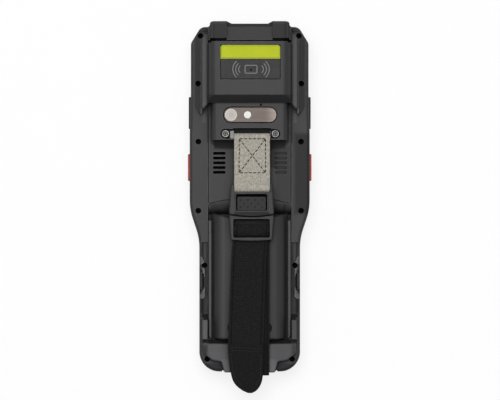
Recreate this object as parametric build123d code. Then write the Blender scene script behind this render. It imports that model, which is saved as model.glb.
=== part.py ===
from build123d import *
import os

# A rugged handheld barcode terminal with a hand strap, lying face down.
# +X is the right side seen from the back, +Y points to the scanner head and +Z out
# of the back. The origin is on the front rim, in the middle of the crossbar between
# the display and the keypad. Sizes are in millimetres.

# Plan of the two shells
body_top = 102.0
body_bottom = 104.7
head_width = 70.6
waist_width = 72.0
grip_width = 60.4
head_foot = 62.0
waist_top = 38.0
waist_foot = -7.6
grip_top = -24.8
side_round = 36.0
top_corner_in = 6.0
top_corner_drop = 9.8
top_corner_round = 4.5
bottom_corner_round = 12.0

# Heights of the shells, from the front rim
parting_z = 7.0
ledge_z = 22.0
ledge_round = 2.0
wall = 1.8
front_floor = 2.4
front_round = 1.6
seam_step = 0.3

# Raised forms of the back
strip_width = 59.0
strip_z = 27.5
strip_round = 1.4
strip_top_gap = 3.5
strip_foot = 50.0
strip_flare = 7.5
strip_cove = 4.6
strip_edge_gap = 1.0
head_block_width = 50.0
head_z = 33.0
head_round = 5.4
head_foot_y = 56.4
head_slope = 4.8
camera_block_width = 46.0
camera_z = 28.0
camera_round = 3.4
camera_foot_y = 28.3
camera_foot_slope = 6.0
camera_foot_round = 7.0
panel_seam_width = 0.5
panel_seam_depth = 0.7
grip_valley_x = 26.9
grip_valley_radius = 2.6
grip_valley_depth = 1.0
grip_valley_top_y = -27.0

# Scanner bumper and window
bumper_lap = 8.8
bumper_skin = 1.2
bumper_gap = 0.7
bumper_brow_drop = 1.6
bumper_brow_length = 4.6
bumper_reach = 3.2
bumper_width = 49.0
bumper_floor_z = 9.0
bumper_notch_width = 24.0
bumper_notch_depth = 1.5
ear_rise = 1.0
ear_inner = 13.7
ear_outer = 23.8
ear_gap = 1.9
scan_window_width = 32.0
scan_window_height = 15.0
scan_window_thickness = 1.4
scan_window_z = 20.0
scan_window_border = 1.4
scanner_length = 20.0
scanner_width = 27.0
scanner_height = 13.5

# Labels in the head's recess
label_width = 36.4
label_x = 0.4
label_height = 20.9
label_top_gap = 10.8
label_depth = 0.45
label_thickness = 0.25
label_round = 1.0
yellow_height = 8.1
yellow_round = 1.5
antenna_turn_width = 1.6

# Camera plate
camera_plate_width = 31.6
camera_plate_height = 8.9
camera_plate_thickness = 1.2
camera_plate_gap = 0.55
camera_plate_y = 49.2
camera_plate_x = 0.3
camera_lens_x = -11.2
camera_lens_diameter = 7.3
flash_x = -1.3
flash_diameter = 4.3
camera_module_side = 9.0
camera_module_gap = 0.3
camera_module_height = 5.2
mic_x = 6.7
mic_y = 55.2
mic_diameter = 1.0

# Strap bar
bar_recess_width = 35.8
bar_recess_height = 5.9
bar_recess_x = 0.4
bar_recess_y = 37.9
bar_recess_depth = 3.0
bar_diameter = 2.0
bar_arm_width = 3.3
bar_cheek_gap = 0.3
bar_eye_diameter = 5.4
bar_eye_thickness = 1.3
bar_slot_floor = 22.9
bar_slot_margin = 0.4
bar_slot_top_gap = 3.4
bar_screw_head = 4.4
bar_screw_socket = 1.25
bar_screw_head_height = 1.1
bar_screw_shank = 2.0
bar_screw_length = 4.0

# Webbing tab
tab_width = 21.4
tab_x = 1.4
webbing_thickness = 1.4
strap_clearance = 0.25
loop_gap = 0.12

# Buckle
buckle_x = 1.1
buckle_base = 28.6
socket_top = 7.8
socket_bottom = -10.3
socket_bow = 1.3
socket_top_width = 24.6
socket_bottom_width = 27.0
socket_thickness = 5.0
socket_skin = 1.5
socket_floor = 0.8
socket_round = 1.2
socket_edge_round = 0.8
socket_bar_y = 5.9
socket_bar_diameter = 2.4
socket_arm = 1.35
socket_bridge = 1.2
window_width = 18.8
window_length = 10.1
window_frame_width = 20.8
window_frame_reach = 1.3
window_frame_depth = 0.6
window_round = 1.2
release_gap = 0.35
release_side_gap = 0.95
release_pad_length = 8.1
release_pad_rise = 1.2
release_thickness = 1.0
plug_gap = 0.45
plug_length = 14.9
plug_top_width = 26.6
plug_bottom_width = 24.2
plug_slot_width = 22.0
plug_shoulder = 2.35
plug_foot = 1.3
plug_foot_bow = 0.6
plug_round = 0.8
plug_edge_round = 0.5
plug_slot_round = 0.9
plug_bar_y = -19.2
plug_bar_depth = 2.4
plug_bar_height = 1.8
plug_prong_width = 1.3
plug_prong_height = 1.2

# Elastic strap
strap_width = 20.4
strap_x = 1.5
strap_ply_gap = 0.2
strap_tail_start_width = 20.2
strap_tail_end_width = 21.2
strap_tail_start_x = -0.3
strap_tail_end_x = -2.4
end_tab_length = 29.0
end_tab_thickness = 1.7
end_tab_tip_x = 0.2
end_tab_tip_length = 11.5
end_tab_taper = 1.1
end_tab_drop = 2.4
end_tab_lap = 0.6
end_tab_gap = 0.05
end_tab_tip_left = (5.4, 2.4)
end_tab_tip_right = (5.6, 2.8)
end_tab_tip_lean = 0.12
strap_fold_reach = 7.0
strap_fold_start = 3.2
strap_fold_end = 0.6
strap_fold_top_gap = 0.2
strap_fold_nose_gap = 0.3
strap_fold_radii = [1.5, 1.5, 1.0, 1.0, 8.0, 8.0, 1.5, 1.5]
strap_drop_start = 0.5
strap_drop_end = 7.5
strap_loop_lap = 0.4
strap_tail_lap = 6.6
strap_cover_gap = 0.4

# Lower strap bar, in the bottom end
lower_bar_z = 15.2
lower_bar_depth = 2.3
lower_bar_grip = 2.4
lower_pocket_height = 7.2
lower_pocket_depth = 5.4

# Battery and its bay
bay_width = 50.0
bay_top_y = -1.5
bay_shoulder_drop = 2.2
bay_shoulder_x = 14.8
bay_shoulder_round = 14.8
bay_bottom_gap = 19.0
bay_corner_round = 3.0
bay_floor_z = 15.8
bay_floor = 1.5
bay_wall = 1.5
battery_gap = 0.25
battery_rim_z = 22.5
battery_valley_z = 21.3
battery_rim_width = 1.7
battery_rim_slope = 1.3
battery_rim_round = 0.6
hump_width = 45.2
hump_foot_z = 20.5
hump_shoulder_width = 34.8
hump_shoulder_z = 26.4
hump_z = 28.1
hump_top_side_y = -8.2
hump_top_middle_y = -13.2
hump_round = 1.4
hump_shoulder_round = 5.0
scoop_floor_z = 17.3
scoop_top_y = -2.2
scoop_length = 8.3
cell_width = 33.0
cell_length = 54.0
cell_height = 8.2
cell_wall = 1.2
contact_width = 18.0
contact_depth = 4.0
contact_y = -8.5
contact_count = 5

# Battery latch
latch_recess_width = 27.0
latch_recess_height = 6.6
latch_recess_y_gap = 7.0
latch_recess_depth = 2.9
latch_pad_width = 18.0
latch_pad_depth = 3.9
latch_pad_height = 2.2
latch_neck_width = 8.0
latch_neck_depth = 2.4
latch_bolt_height = 1.4
latch_bolt_z = 18.6
latch_throw = 1.5
latch_travel = 2.0
latch_clearance = 0.2

# Wings beside the battery's lower end
wing_width = 3.4
wing_length = 12.2
wing_z = 24.4
wing_round = 0.6
wing_notch_width = 3.3
wing_notch_length = 3.4
wing_notch_depth = 1.2

# Bottom cover
cover_width = 56.2
cover_z = 26.0
cover_deck_z = 20.0
cover_top_gap = 17.0
cover_side_length = 5.6
cover_foot_gap = 6.9
cover_foot_width = 44.6
tongue_width = 33.6
tongue_end_width = 30.0
tongue_reach = 0.5
tongue_shoulder = 0.9
cover_round = 2.0
cover_moat_floor_z = 20.9
end_notch_x = 16.1
end_notch_width = 1.3
end_notch_depth = 1.0

# Case screws and the bosses that they pull together
screw_recess = 3.5
screw_head = 3.2
screw_head_height = 1.4
screw_seat_z = 12.0
screw_shank = 2.0
screw_clearance_hole = 2.3
screw_bite = 4.5
boss_diameter = 4.6
column_diameter = 5.2
screw_edge_head = 4.3
screw_edge_waist = 5.2
screw_edge_grip = 3.1
screw_head_y = 68.0
screw_waist_y = 33.2
screw_taper_y = -8.2
screw_grip_y = -41.0
screw_top_gap = 5.4
screw_top_edge = 5.8
screw_bottom_gap = 7.5
screw_bottom_edge = 4.7

# Boards
board_seat_z = 8.5
board_thickness = 1.2
board_margin = 0.5
keypad_board_z = 5.0
keypad_board_thickness = 1.0

# Display
crossbar = 7.0
glass_width = 60.0
glass_top_gap = 7.5
glass_thickness = 1.0
glass_sink = 0.5
glass_border = 1.7
glass_round = 3.0
glass_fit = 0.15
panel_thickness = 3.0
earpiece_width = 12.0
earpiece_height = 1.4

# Keypad
field_edge = 4.7
field_top_gap = 2.0
field_bottom_gap = 12.0
field_depth = 1.0
field_round = 4.0
key_edge = 2.4
key_gap = 3.6
key_length = 9.6
key_round = 3.0
key_pitch_y = 15.4
key_first_row = -36.5
scan_row = -16.5
scan_key_width = 19.0
scan_key_length = 13.0
menu_key_width = 10.6
menu_key_length = 9.0
key_sink = 0.45
key_fit = 0.2
key_flange = 0.7
key_flange_thickness = 0.6
key_flange_gap = 0.1
key_travel = 0.5
key_stem = 3.0
key_dome = 5.0
key_dome_height = 0.25
mat_hole = 6.0
mat_rib = 1.6

# Side keys and scan keys
side_key_z = 14.6
side_key_length = 19.2
side_key_height = 6.4
side_key_y = 50.4
side_key_proud = 0.6
grip_key_length = 16.2
grip_key_height = 7.4
grip_key_y = 17.7
grip_key_proud = 1.1
edge_key_round = 1.2
edge_key_crown = 0.7
edge_key_flange = 0.8
edge_key_flange_thickness = 0.9
edge_key_flange_gap = 0.1
edge_key_travel = 0.6
switch_length = 5.0
switch_depth = 2.2
switch_height = 6.0

# Port lids, their hinges and the sockets behind them
lid_y = -50.4
lid_length = 13.6
lid_thickness = 1.5
lid_bottom_gap = 1.4
lid_plate_height = 8.0
lid_barrel_diameter = 2.6
lid_barrel_length = 8.8
lid_hinge_z = 19.3
lid_pin_diameter = 1.0
lid_pin_grip = 1.8
lid_pin_fit = 0.04
lid_clearance = 0.2
lid_plug_depth = 1.0
lid_plug_width = 9.6
lid_plug_height = 3.4
port_wall_clearance = 0.3
port_boss_margin = 3.2
socket_shell_width = 8.9
socket_shell_height = 3.2
socket_shell_depth = 7.3
socket_shell_wall = 0.35
jack_side = 6.0
jack_height = 4.4
jack_depth = 11.0
jack_bore = 3.6
skin_thickness = 0.7
skin_gap = 0.15
skin_low_z = 17.4
skin_top_y = -35.6
skin_bottom_y = -61.0
skin_pocket_depth = 0.6
skin_pocket_inset = 1.4
skin_pocket_drop = 9.3
skin_pocket_width = 1.4
skin_pocket_height = 2.2
skin_hook = [(0.6, 9.9), (-1.4, 9.3), (-1.4, 10.6), (0.4, 12.2)]
skin_steps = [(1.6, 0.0), (2.9, 3.4), (3.3, 8.2), (3.3, 11.8), (3.0, 12.4), (3.0, 18.2), (3.4, 19.0)]
skin_foot_reach = 3.4
skin_foot_rise = 1.4
skin_foot_corner = 2.2

# Speaker behind its slots
speaker_x = -18.2
speaker_y = 20.5
speaker_slot_width = 7.6
speaker_slot_height = 1.7
speaker_slot_pitch = 2.85
speaker_slot_count = 5
groove_x = 18.6
groove_depth = 0.8
speaker_width = 11.0
speaker_length = 17.0
speaker_height = 4.5


def prism(face, z0, z1):
    """Return a face of the plan raised from z0 to z1."""
    return Pos(0, 0, z0) * extrude(face, amount=z1 - z0)


def block(x0, x1, y0, y1, z0, z1):
    """Return a box between two corners."""
    box = Box(x1 - x0, y1 - y0, z1 - z0)
    return Pos((x0 + x1) / 2, (y0 + y1) / 2, (z0 + z1) / 2) * box


def rod_x(x0, x1, y, z, diameter):
    """Return a round rod along X."""
    rod = Rot(0, 90, 0) * Cylinder(diameter / 2, x1 - x0)
    return Pos((x0 + x1) / 2, y, z) * rod


def rod_y(x, y0, y1, z, diameter):
    """Return a round rod along Y."""
    rod = Rot(90, 0, 0) * Cylinder(diameter / 2, y1 - y0)
    return Pos(x, (y0 + y1) / 2, z) * rod


def rod_z(x, y, z0, z1, diameter):
    """Return a round rod along Z."""
    return Pos(x, y, (z0 + z1) / 2) * Cylinder(diameter / 2, z1 - z0)


def mirrored_outline(right_side, radii):
    """Return a face from the points of its right half, bottom to top, with rounded corners."""
    left_side = [(-x, y) for x, y in reversed(right_side)]
    line = FilletPolyline(*right_side, *left_side, radius=[*radii, *reversed(radii)], close=True)
    return make_face(line)


def body_outline(inset):
    """Return the plan of the shells, moved inwards by inset."""
    corners = [
        (grip_width / 2, -body_bottom),
        (grip_width / 2, grip_top),
        (waist_width / 2, waist_foot),
        (waist_width / 2, waist_top),
        (head_width / 2, head_foot),
        (head_width / 2, body_top - top_corner_drop),
        (head_width / 2 - top_corner_in, body_top),
    ]
    radii = [
        bottom_corner_round,
        side_round,
        side_round,
        side_round,
        side_round,
        top_corner_round,
        top_corner_round,
    ]
    face = mirrored_outline(corners, radii)
    if inset == 0:
        return face
    return offset(face, amount=-inset)


def top_edges(solid):
    """Return the highest edges of a solid."""
    return solid.edges().group_by(Axis.Z)[-1]


def ledge_body(inset):
    """Return the low part of the rear housing, which carries the raised forms."""
    solid = prism(body_outline(inset), parting_z, ledge_z - inset)
    return fillet(top_edges(solid), ledge_round - inset)


def section_x(face, y0, y1):
    """Return a face drawn across the body, x to the right and z up, run from y0 to y1."""
    return Pos(0, y1, 0) * Rot(90, 0, 0) * extrude(face, amount=y1 - y0)


def section_y(face, x0, x1):
    """Return a face drawn along the body, y to the right and z up, run from x0 to x1."""
    return Pos(x0, 0, 0) * (Plane.YZ * extrude(face, amount=x1 - x0))


def polygon(points):
    """Return the face inside a closed run of points."""
    return make_face(Polyline(*points, close=True))


def rounded_top_section(width, foot, top, radius):
    """Return an upright section with its two upper corners rounded."""
    corners = [(width / 2, foot), (width / 2, top)]
    return mirrored_outline(corners, [0, radius])


def head_section(inset):
    """Return the section of the scanner head, moved inwards by inset."""
    return rounded_top_section(
        head_block_width - 2 * inset, parting_z, head_z - inset, head_round - inset
    )


def head_block():
    """Return the raised scanner head, with the slope at its lower end."""
    section = section_x(head_section(0), head_foot_y, body_top)
    side = polygon(
        [
            (head_foot_y, parting_z),
            (head_foot_y, camera_z),
            (head_foot_y + head_slope, head_z),
            (body_top, head_z),
            (body_top, parting_z),
        ]
    )
    return section & section_y(side, -head_block_width, head_block_width)


def strip_block():
    """Return the lower step beside the head, which flares at its lower end."""
    corners = [
        (camera_block_width / 2, strip_foot + strip_flare),
        (strip_width / 2, strip_foot),
        (strip_width / 2, body_top - strip_top_gap),
    ]
    solid = prism(mirrored_outline(corners, [0, 1.5, 1.5]), parting_z, strip_z)
    solid = fillet(top_edges(solid), strip_round)
    cove = strip_cove_block()
    return solid + cove + mirror(cove, Plane.YZ)


def strip_cove_block():
    """Return the hollow-sided foot of the right strip, which runs out at its lower end."""
    inner = strip_width / 2
    outer = inner + strip_cove
    crest = ledge_z + strip_cove
    lean = strip_cove * (1 - 0.5**0.5)
    sweep = ThreePointArc((outer, ledge_z), (inner + lean, ledge_z + lean), (inner, crest))
    rest = Polyline((inner, crest), (inner - 1, crest), (inner - 1, ledge_z), (outer, ledge_z))
    y1 = body_top - strip_top_gap
    solid = section_x(make_face([sweep, rest]), strip_foot, y1)
    plan = polygon(
        [(inner - 1, strip_foot - 1), (outer, strip_foot + strip_cove), (outer, y1), (inner - 1, y1)]
    )
    return solid & prism(plan, parting_z, strip_z) & prism(
        body_outline(strip_edge_gap), parting_z, strip_z
    )


def camera_block():
    """Return the raised block that carries the camera plate and the strap bar."""
    face = rounded_top_section(camera_block_width, parting_z, camera_z, camera_round)
    section = section_x(face, camera_foot_y, head_foot_y + head_slope)
    end_y = head_foot_y + head_slope
    reach = camera_foot_slope * 0.5**0.5
    sweep = ThreePointArc(
        (camera_foot_y, ledge_z),
        (camera_foot_y + reach, camera_z - reach),
        (camera_foot_y + camera_foot_slope, camera_z),
    )
    rest = Polyline(
        (camera_foot_y + camera_foot_slope, camera_z),
        (end_y, camera_z),
        (end_y, parting_z),
        (camera_foot_y, parting_z),
        (camera_foot_y, ledge_z),
    )
    side = make_face([sweep, rest])
    half = camera_block_width / 2
    plan = mirrored_outline([(half, camera_foot_y), (half, end_y)], [camera_foot_round, 0])
    solid = section & section_y(side, -camera_block_width, camera_block_width)
    return solid & prism(plan, parting_z, camera_z)


def wing_blocks():
    """Return the two raised pads beside the battery's lower end."""
    y0 = wing_foot_y()
    x0 = bay_width / 2
    wing = block(x0, x0 + wing_width, y0, y0 + wing_length, parting_z, wing_z)
    wing = fillet(top_edges(wing), wing_round)
    return wing + mirror(wing, Plane.YZ)


def screw_places():
    """Return the plan places of the case screws."""
    right = [
        (head_width / 2 - screw_top_edge, body_top - screw_top_gap),
        (head_width / 2 - screw_edge_head, screw_head_y),
        (waist_width / 2 - screw_edge_waist, screw_waist_y),
        (waist_width / 2 - screw_edge_waist, screw_taper_y),
        (grip_width / 2 - screw_edge_grip, screw_grip_y),
        (grip_width / 2 - screw_bottom_edge, -body_bottom + screw_bottom_gap),
    ]
    return right + [(-x, y) for x, y in right]


def bay_outline(clearance):
    """Return the plan of the battery bay, moved inwards by clearance."""
    bottom = -body_bottom + bay_bottom_gap
    corners = [
        (bay_width / 2, bottom),
        (bay_width / 2, bay_top_y - bay_shoulder_drop),
        (bay_shoulder_x, bay_top_y),
    ]
    face = mirrored_outline(corners, [bay_corner_round, bay_corner_round, bay_shoulder_round])
    if clearance == 0:
        return face
    return offset(face, amount=-clearance)


def cover_outline(clearance):
    """Return the plan of the bottom cover and its tongue, moved inwards by clearance."""
    top = -body_bottom + cover_top_gap
    foot = -body_bottom + cover_foot_gap
    corners = [
        (tongue_end_width / 2, -body_bottom - tongue_reach),
        (tongue_width / 2, foot - tongue_shoulder),
        (cover_foot_width / 2, foot),
        (cover_width / 2, top - cover_side_length),
        (cover_width / 2, top),
    ]
    face = mirrored_outline(corners, [1.0, 1.5, 3.0, 3.0, 1.0])
    if clearance == 0:
        return face
    return offset(face, amount=-clearance)


def rear_cavity():
    """Return the hollow of the rear housing."""
    roof = ledge_z - wall
    hollow = prism(body_outline(wall), parting_z, roof)
    hollow -= prism(bay_outline(-bay_wall), bay_floor_z - bay_floor, ledge_z)
    end_y = -body_bottom + bay_bottom_gap
    hollow -= block(-waist_width, waist_width, -body_bottom, end_y, cover_deck_z - wall, ledge_z)
    head_inner = head_block_width / 2 - wall
    hollow += block(
        -head_inner, head_inner, head_foot_y + head_slope, body_top - wall, parting_z, strip_z - wall
    )
    core = head_inner - head_round + wall
    hollow += block(
        -core, core, head_foot_y + head_slope, body_top - wall, parting_z, head_z - label_depth - wall
    )
    bay_half = camera_module_side / 2 + camera_module_gap
    hollow += block(
        camera_lens_x - bay_half,
        camera_plate_x + camera_plate_width / 2,
        camera_plate_y - bay_half,
        camera_plate_y + bay_half,
        parting_z,
        camera_z - camera_plate_thickness - wall,
    )
    for x, y in screw_places():
        hollow -= rod_z(x, y, board_seat_z + board_thickness, head_z, column_diameter)
    for side in (-1, 1):
        hollow -= port_boss(side)
    hollow -= lower_bar_boss()
    room = prism(body_outline(wall + 0.05), parting_z, board_seat_z + board_thickness)
    return hollow + (boss_notches(parting_z, head_z, boss_diameter + 0.4) & room)


def port_boss(side):
    """Return the solid zone of the housing round one side's port."""
    outer = grip_width / 2
    inner = outer - wall - port_boss_margin
    half = lid_length / 2 + port_boss_margin
    low = board_seat_z + board_thickness + max(socket_shell_height, jack_height) + 0.2
    boss = block(inner, outer, lid_y - half, lid_y + half, low, ledge_z)
    rim = block(port_mouth_x() + 0.2, outer, lid_y - half, lid_y + half, parting_z, low)
    boss += rim
    return boss if side > 0 else mirror(boss, Plane.YZ)


def lower_bar_ends():
    """Return the x of the lower strap bar's two ends."""
    half = strap_width / 2 + strap_clearance * 2 + lower_bar_grip
    return strap_x - half, strap_x + half


def lower_bar_y():
    """Return the y of the lower strap bar's axis."""
    return -body_bottom + lower_bar_depth


def lower_bar_boss():
    """Return the solid zone of the housing round the lower strap bar."""
    x0, x1 = lower_bar_ends()
    reach = lower_pocket_height / 2 + wall
    depth = lower_pocket_depth + wall
    return block(
        x0 - wall,
        x1 + wall,
        -body_bottom,
        -body_bottom + depth,
        board_seat_z + board_thickness + 0.2,
        lower_bar_z + reach,
    )


def lower_bar_pocket():
    """Return the pocket in the bottom end that the strap's loop passes through."""
    half = strap_width / 2 + strap_clearance * 2
    reach = lower_pocket_height / 2
    return block(
        strap_x - half,
        strap_x + half,
        -body_bottom - 1,
        -body_bottom + lower_pocket_depth,
        lower_bar_z - reach,
        lower_bar_z + reach,
    )


def bumper_rebate():
    """Return the skin that the bumper's lap takes off the head."""
    section = head_section(0) - head_section(bumper_skin)
    lap = section_x(section, body_top - bumper_lap, body_top)
    return lap - prism(body_outline(0), 0, strip_z)


def capsule(x, y, width, height, z0, z1):
    """Return an upright slot-shaped solid."""
    return prism(Pos(x, y) * SlotOverall(width, height), z0, z1)


def bar_loop():
    """Return the outer radius of the webbing's loop round the strap bar."""
    return bar_diameter / 2 + loop_gap + webbing_thickness


def bar_axis_y():
    """Return the y of the strap bar's axis, which lets the loop reach the screws' line."""
    return bar_recess_y - bar_loop()


def bar_recess():
    """Return the recess of the strap bar, with the deeper slot for the webbing."""
    floor = camera_z - bar_recess_depth
    recess = capsule(
        bar_recess_x, bar_recess_y, bar_recess_width, bar_recess_height, floor, camera_z + 1
    )
    half = tab_width / 2 + strap_clearance * 2
    slot = block(
        tab_x - half,
        tab_x + half,
        bar_axis_y() - bar_loop() - bar_slot_margin,
        bar_recess_y + bar_slot_top_gap,
        bar_slot_floor,
        camera_z + 1,
    )
    lip = block(
        tab_x - half, tab_x + half, camera_foot_y - 1, bar_recess_y, bar_slot_floor + 1, camera_z + 1
    )
    return recess + slot + lip


def speaker_slots(x, z0, z1):
    """Return one column of the speaker's slots."""
    middle = (speaker_slot_count - 1) / 2
    slots = [
        capsule(
            x,
            speaker_y + (row - middle) * speaker_slot_pitch,
            speaker_slot_width,
            speaker_slot_height,
            z0,
            z1,
        )
        for row in range(speaker_slot_count)
    ]
    return Compound(slots)


def panel_seams():
    """Return the two thin seams that run down the back beside the middle panel."""
    x0 = bay_width / 2 - panel_seam_width
    foot = bay_top_y - bay_shoulder_drop
    seam = block(x0, x0 + panel_seam_width, foot, strip_foot, ledge_z - panel_seam_depth, ledge_z + 1)
    return seam + mirror(seam, Plane.YZ)


def skin_outline(inset):
    """Return the plan of the right port skin, which bends round the screw, moved inwards."""
    outer = waist_width / 2
    edge = grip_width / 2
    points = [
        (outer, skin_top_y),
        *[(edge - reach, skin_top_y - drop) for reach, drop in skin_steps],
        (edge - skin_foot_reach, skin_bottom_y + skin_foot_rise),
        (edge - skin_foot_corner, skin_bottom_y),
        (outer, skin_bottom_y),
    ]
    face = polygon(points)
    if inset == 0:
        return face
    return offset(face, amount=-inset, kind=Kind.INTERSECTION)


def skin_pockets():
    """Return the two small pockets in the right port skin."""
    x = grip_width / 2 - skin_pocket_inset
    y = skin_top_y - skin_pocket_drop
    z0 = ledge_z - skin_pocket_depth
    half = skin_pocket_width / 2
    reach = skin_pocket_height / 2
    square = block(x - half, x + half, y - reach, y + reach, z0, ledge_z + 1)
    hook = polygon([(x + side, y - drop) for side, drop in skin_hook])
    return square + prism(hook, z0, ledge_z + 1)


def port_skin(side):
    """Return the soft skin round one side's port, laid into the shell's edge."""
    shell = ledge_body(0) - ledge_body(skin_thickness)
    solid = shell & prism(skin_outline(skin_gap), skin_low_z, ledge_z)
    solid -= skin_pockets()
    for x, y in screw_places():
        solid -= rod_z(x, y, parting_z, ledge_z + 1, screw_recess)
    solid -= port_cut(1)
    return solid if side > 0 else mirror(solid, Plane.YZ)


def port_skins():
    """Return the two port skins as one group."""
    return Compound([*port_skin(1).solids(), *port_skin(-1).solids()])


def port_skin_bed(side):
    """Return the shallow bed of one port skin in the rear housing."""
    bed = prism(skin_outline(0), skin_low_z - skin_gap, head_z) - ledge_body(skin_thickness)
    return bed if side > 0 else mirror(bed, Plane.YZ)


def grip_valleys():
    """Return the two shallow channels between the battery's rims and the grip's edges."""
    z = ledge_z - grip_valley_depth + grip_valley_radius
    y0 = wing_foot_y() + wing_length + 1
    channel = rod_y(grip_valley_x, y0, grip_valley_top_y, z, 2 * grip_valley_radius)
    return channel + mirror(channel, Plane.YZ)


def wing_foot_y():
    """Return the y of the wings' lower ends."""
    return -body_bottom + bay_bottom_gap


def wing_notches():
    """Return the two wedge-shaped notches above the wings."""
    y = wing_foot_y() + wing_length
    x = bay_width / 2
    plan = polygon([(x, y), (x + wing_notch_width, y), (x, y + wing_notch_length)])
    notch = prism(plan, ledge_z - wing_notch_depth, ledge_z + 1)
    return notch + mirror(notch, Plane.YZ)


def cover_moat():
    """Return the gap between the battery's lower end and the bottom cover."""
    half = bay_width / 2 + wing_width
    top = -body_bottom + cover_top_gap
    return block(-half, half, top - 0.1, wing_foot_y() + 0.1, cover_moat_floor_z, head_z)


def end_notches():
    """Return the two small notches in the bottom end, beside the cover's tongue."""
    y = -body_bottom
    half = end_notch_width / 2
    x = end_notch_x
    plan = polygon(
        [(x - half, y - 1), (x + half, y - 1), (x + half, y), (x, y + end_notch_depth), (x - half, y)]
    )
    notch = prism(plan, -1, head_z)
    return notch + mirror(notch, Plane.YZ)


def lid_axis_x():
    """Return the distance of the lids' hinge axis from the middle plane."""
    return grip_width / 2 - lid_barrel_diameter / 2


def lid_plate_z():
    """Return the lower and upper z of a lid's plate."""
    low = parting_z + lid_bottom_gap
    return low, low + lid_plate_height


def port_z():
    """Return the height of the sockets' middle."""
    return board_seat_z + board_thickness + socket_shell_height / 2


def port_cut(side):
    """Return what one side's lid, hinge and socket need cut out of the housing."""
    gap = lid_clearance
    low, high = lid_plate_z()
    axis_x = lid_axis_x()
    outer = grip_width / 2
    half = lid_length / 2 + gap
    inner = outer - lid_thickness - gap
    cut = block(inner, outer + 2, lid_y - half, lid_y + half, low - gap, high + 0.55)
    barrel_half = lid_barrel_length / 2 + gap
    barrel_room = lid_barrel_diameter + 2 * gap
    cut += rod_y(axis_x, lid_y - barrel_half, lid_y + barrel_half, lid_hinge_z, barrel_room)
    cut += block(
        inner, outer + 2, lid_y - barrel_half, lid_y + barrel_half, high, lid_hinge_z
    )
    cut += block(
        axis_x - barrel_room / 2,
        outer + 2,
        lid_y - barrel_half,
        lid_y + barrel_half,
        lid_hinge_z,
        ledge_z + 1,
    )
    mouth_half = lid_plug_width / 2 + port_wall_clearance
    mouth_rise = lid_plug_height / 2 + port_wall_clearance
    cut += block(
        outer - wall - port_boss_margin - 1,
        inner,
        lid_y - mouth_half,
        lid_y + mouth_half,
        port_z() - mouth_rise,
        port_z() + mouth_rise,
    )
    pin_half = barrel_half + lid_pin_grip
    cut += rod_y(axis_x, lid_y - pin_half, lid_y + pin_half, lid_hinge_z, lid_pin_diameter)
    return cut if side > 0 else mirror(cut, Plane.YZ)


def edge_key_places():
    """Return each edge key's name, side, middle, length, height and stand."""
    shape_side = (side_key_y, side_key_length, side_key_height, side_key_proud)
    shape_scan = (grip_key_y, grip_key_length, grip_key_height, grip_key_proud)
    return {
        "side_key_left": (-1, *shape_side),
        "side_key_right": (1, *shape_side),
        "scan_key_left": (-1, *shape_scan),
        "scan_key_right": (1, *shape_scan),
    }


def edge_key_prism(length, height, round_radius, x0, x1, y):
    """Return a key-shaped solid between two x places on the right side."""
    face = Pos(y, side_key_z) * RectangleRounded(length, height, round_radius)
    return section_y(face, x0, x1)


def edge_key_holes():
    """Return the holes in the side walls for the edge keys."""
    holes = []
    for side, y, length, height, _proud in edge_key_places().values():
        gap = 2 * key_fit
        hole = edge_key_prism(
            length + gap,
            height + gap,
            edge_key_round + key_fit,
            edge_key_inner_x() - 1,
            waist_width / 2 + 2,
            y,
        )
        holes.append(hole if side > 0 else mirror(hole, Plane.YZ))
    return Compound(holes)


def rear_housing():
    """Return the rear housing."""
    solid = ledge_body(0) + strip_block() + head_block() + camera_block() + wing_blocks()
    solid -= rear_cavity()
    solid -= prism(bay_outline(0), bay_floor_z, head_z)
    contact_half = contact_width / 2 + battery_gap
    contact_reach = contact_depth / 2 + battery_gap
    solid -= block(
        -contact_half,
        contact_half,
        contact_y - contact_reach,
        contact_y + contact_reach,
        parting_z,
        bay_floor_z + 1,
    )
    solid -= cover_moat()
    solid -= latch_keeper()
    solid -= prism(cover_outline(-0.1), cover_deck_z, head_z)
    solid -= wing_notches()
    solid -= grip_valleys()
    solid -= end_notches()
    solid -= bumper_rebate()
    solid -= label_recess()
    solid -= capsule(
        camera_plate_x,
        camera_plate_y,
        camera_plate_width + 2 * camera_plate_gap,
        camera_plate_height + 2 * camera_plate_gap,
        camera_z - camera_plate_thickness,
        camera_z + 1,
    )
    camera_hole = camera_lens_diameter + 1.0
    solid -= rod_z(camera_lens_x, camera_plate_y, camera_z - 6, camera_z, camera_hole)
    solid -= rod_z(flash_x, camera_plate_y, camera_z - 6, camera_z, flash_diameter + 0.6)
    solid -= rod_z(mic_x, mic_y, camera_z - 6, head_z, mic_diameter)
    solid -= bar_recess()
    for x in bar_screw_places():
        solid -= rod_z(x, bar_recess_y, bar_screw_tip(), camera_z, bar_screw_shank)
    solid -= speaker_slots(speaker_x, ledge_z - wall - 1, ledge_z + 1)
    solid -= speaker_slots(groove_x, ledge_z - groove_depth, ledge_z + 1)
    solid -= panel_seams()
    for x, y in screw_places():
        solid -= rod_z(x, y, screw_seat_z, head_z + 1, screw_recess)
        solid -= rod_z(x, y, parting_z, screw_seat_z, screw_clearance_hole)
    for side in (-1, 1):
        solid -= port_skin_bed(side)
        solid -= port_cut(side)
    solid -= lower_bar_pocket()
    x0, x1 = lower_bar_ends()
    solid -= rod_x(x0, x1, lower_bar_y(), lower_bar_z, bar_diameter)
    solid -= edge_key_holes()
    solid -= scan_aperture()
    step = body_outline(0) - body_outline(seam_step)
    solid -= prism(step, parting_z, parting_z + seam_step)
    return solid


def scan_aperture():
    """Return the hole through the head's end wall for the scanner's beam."""
    half = scan_window_width / 2 - scan_window_border
    rise = scan_window_height / 2 - scan_window_border
    return block(
        -half, half, body_top - wall - 1, body_top + 1, scan_window_z - rise, scan_window_z + rise
    )


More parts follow.
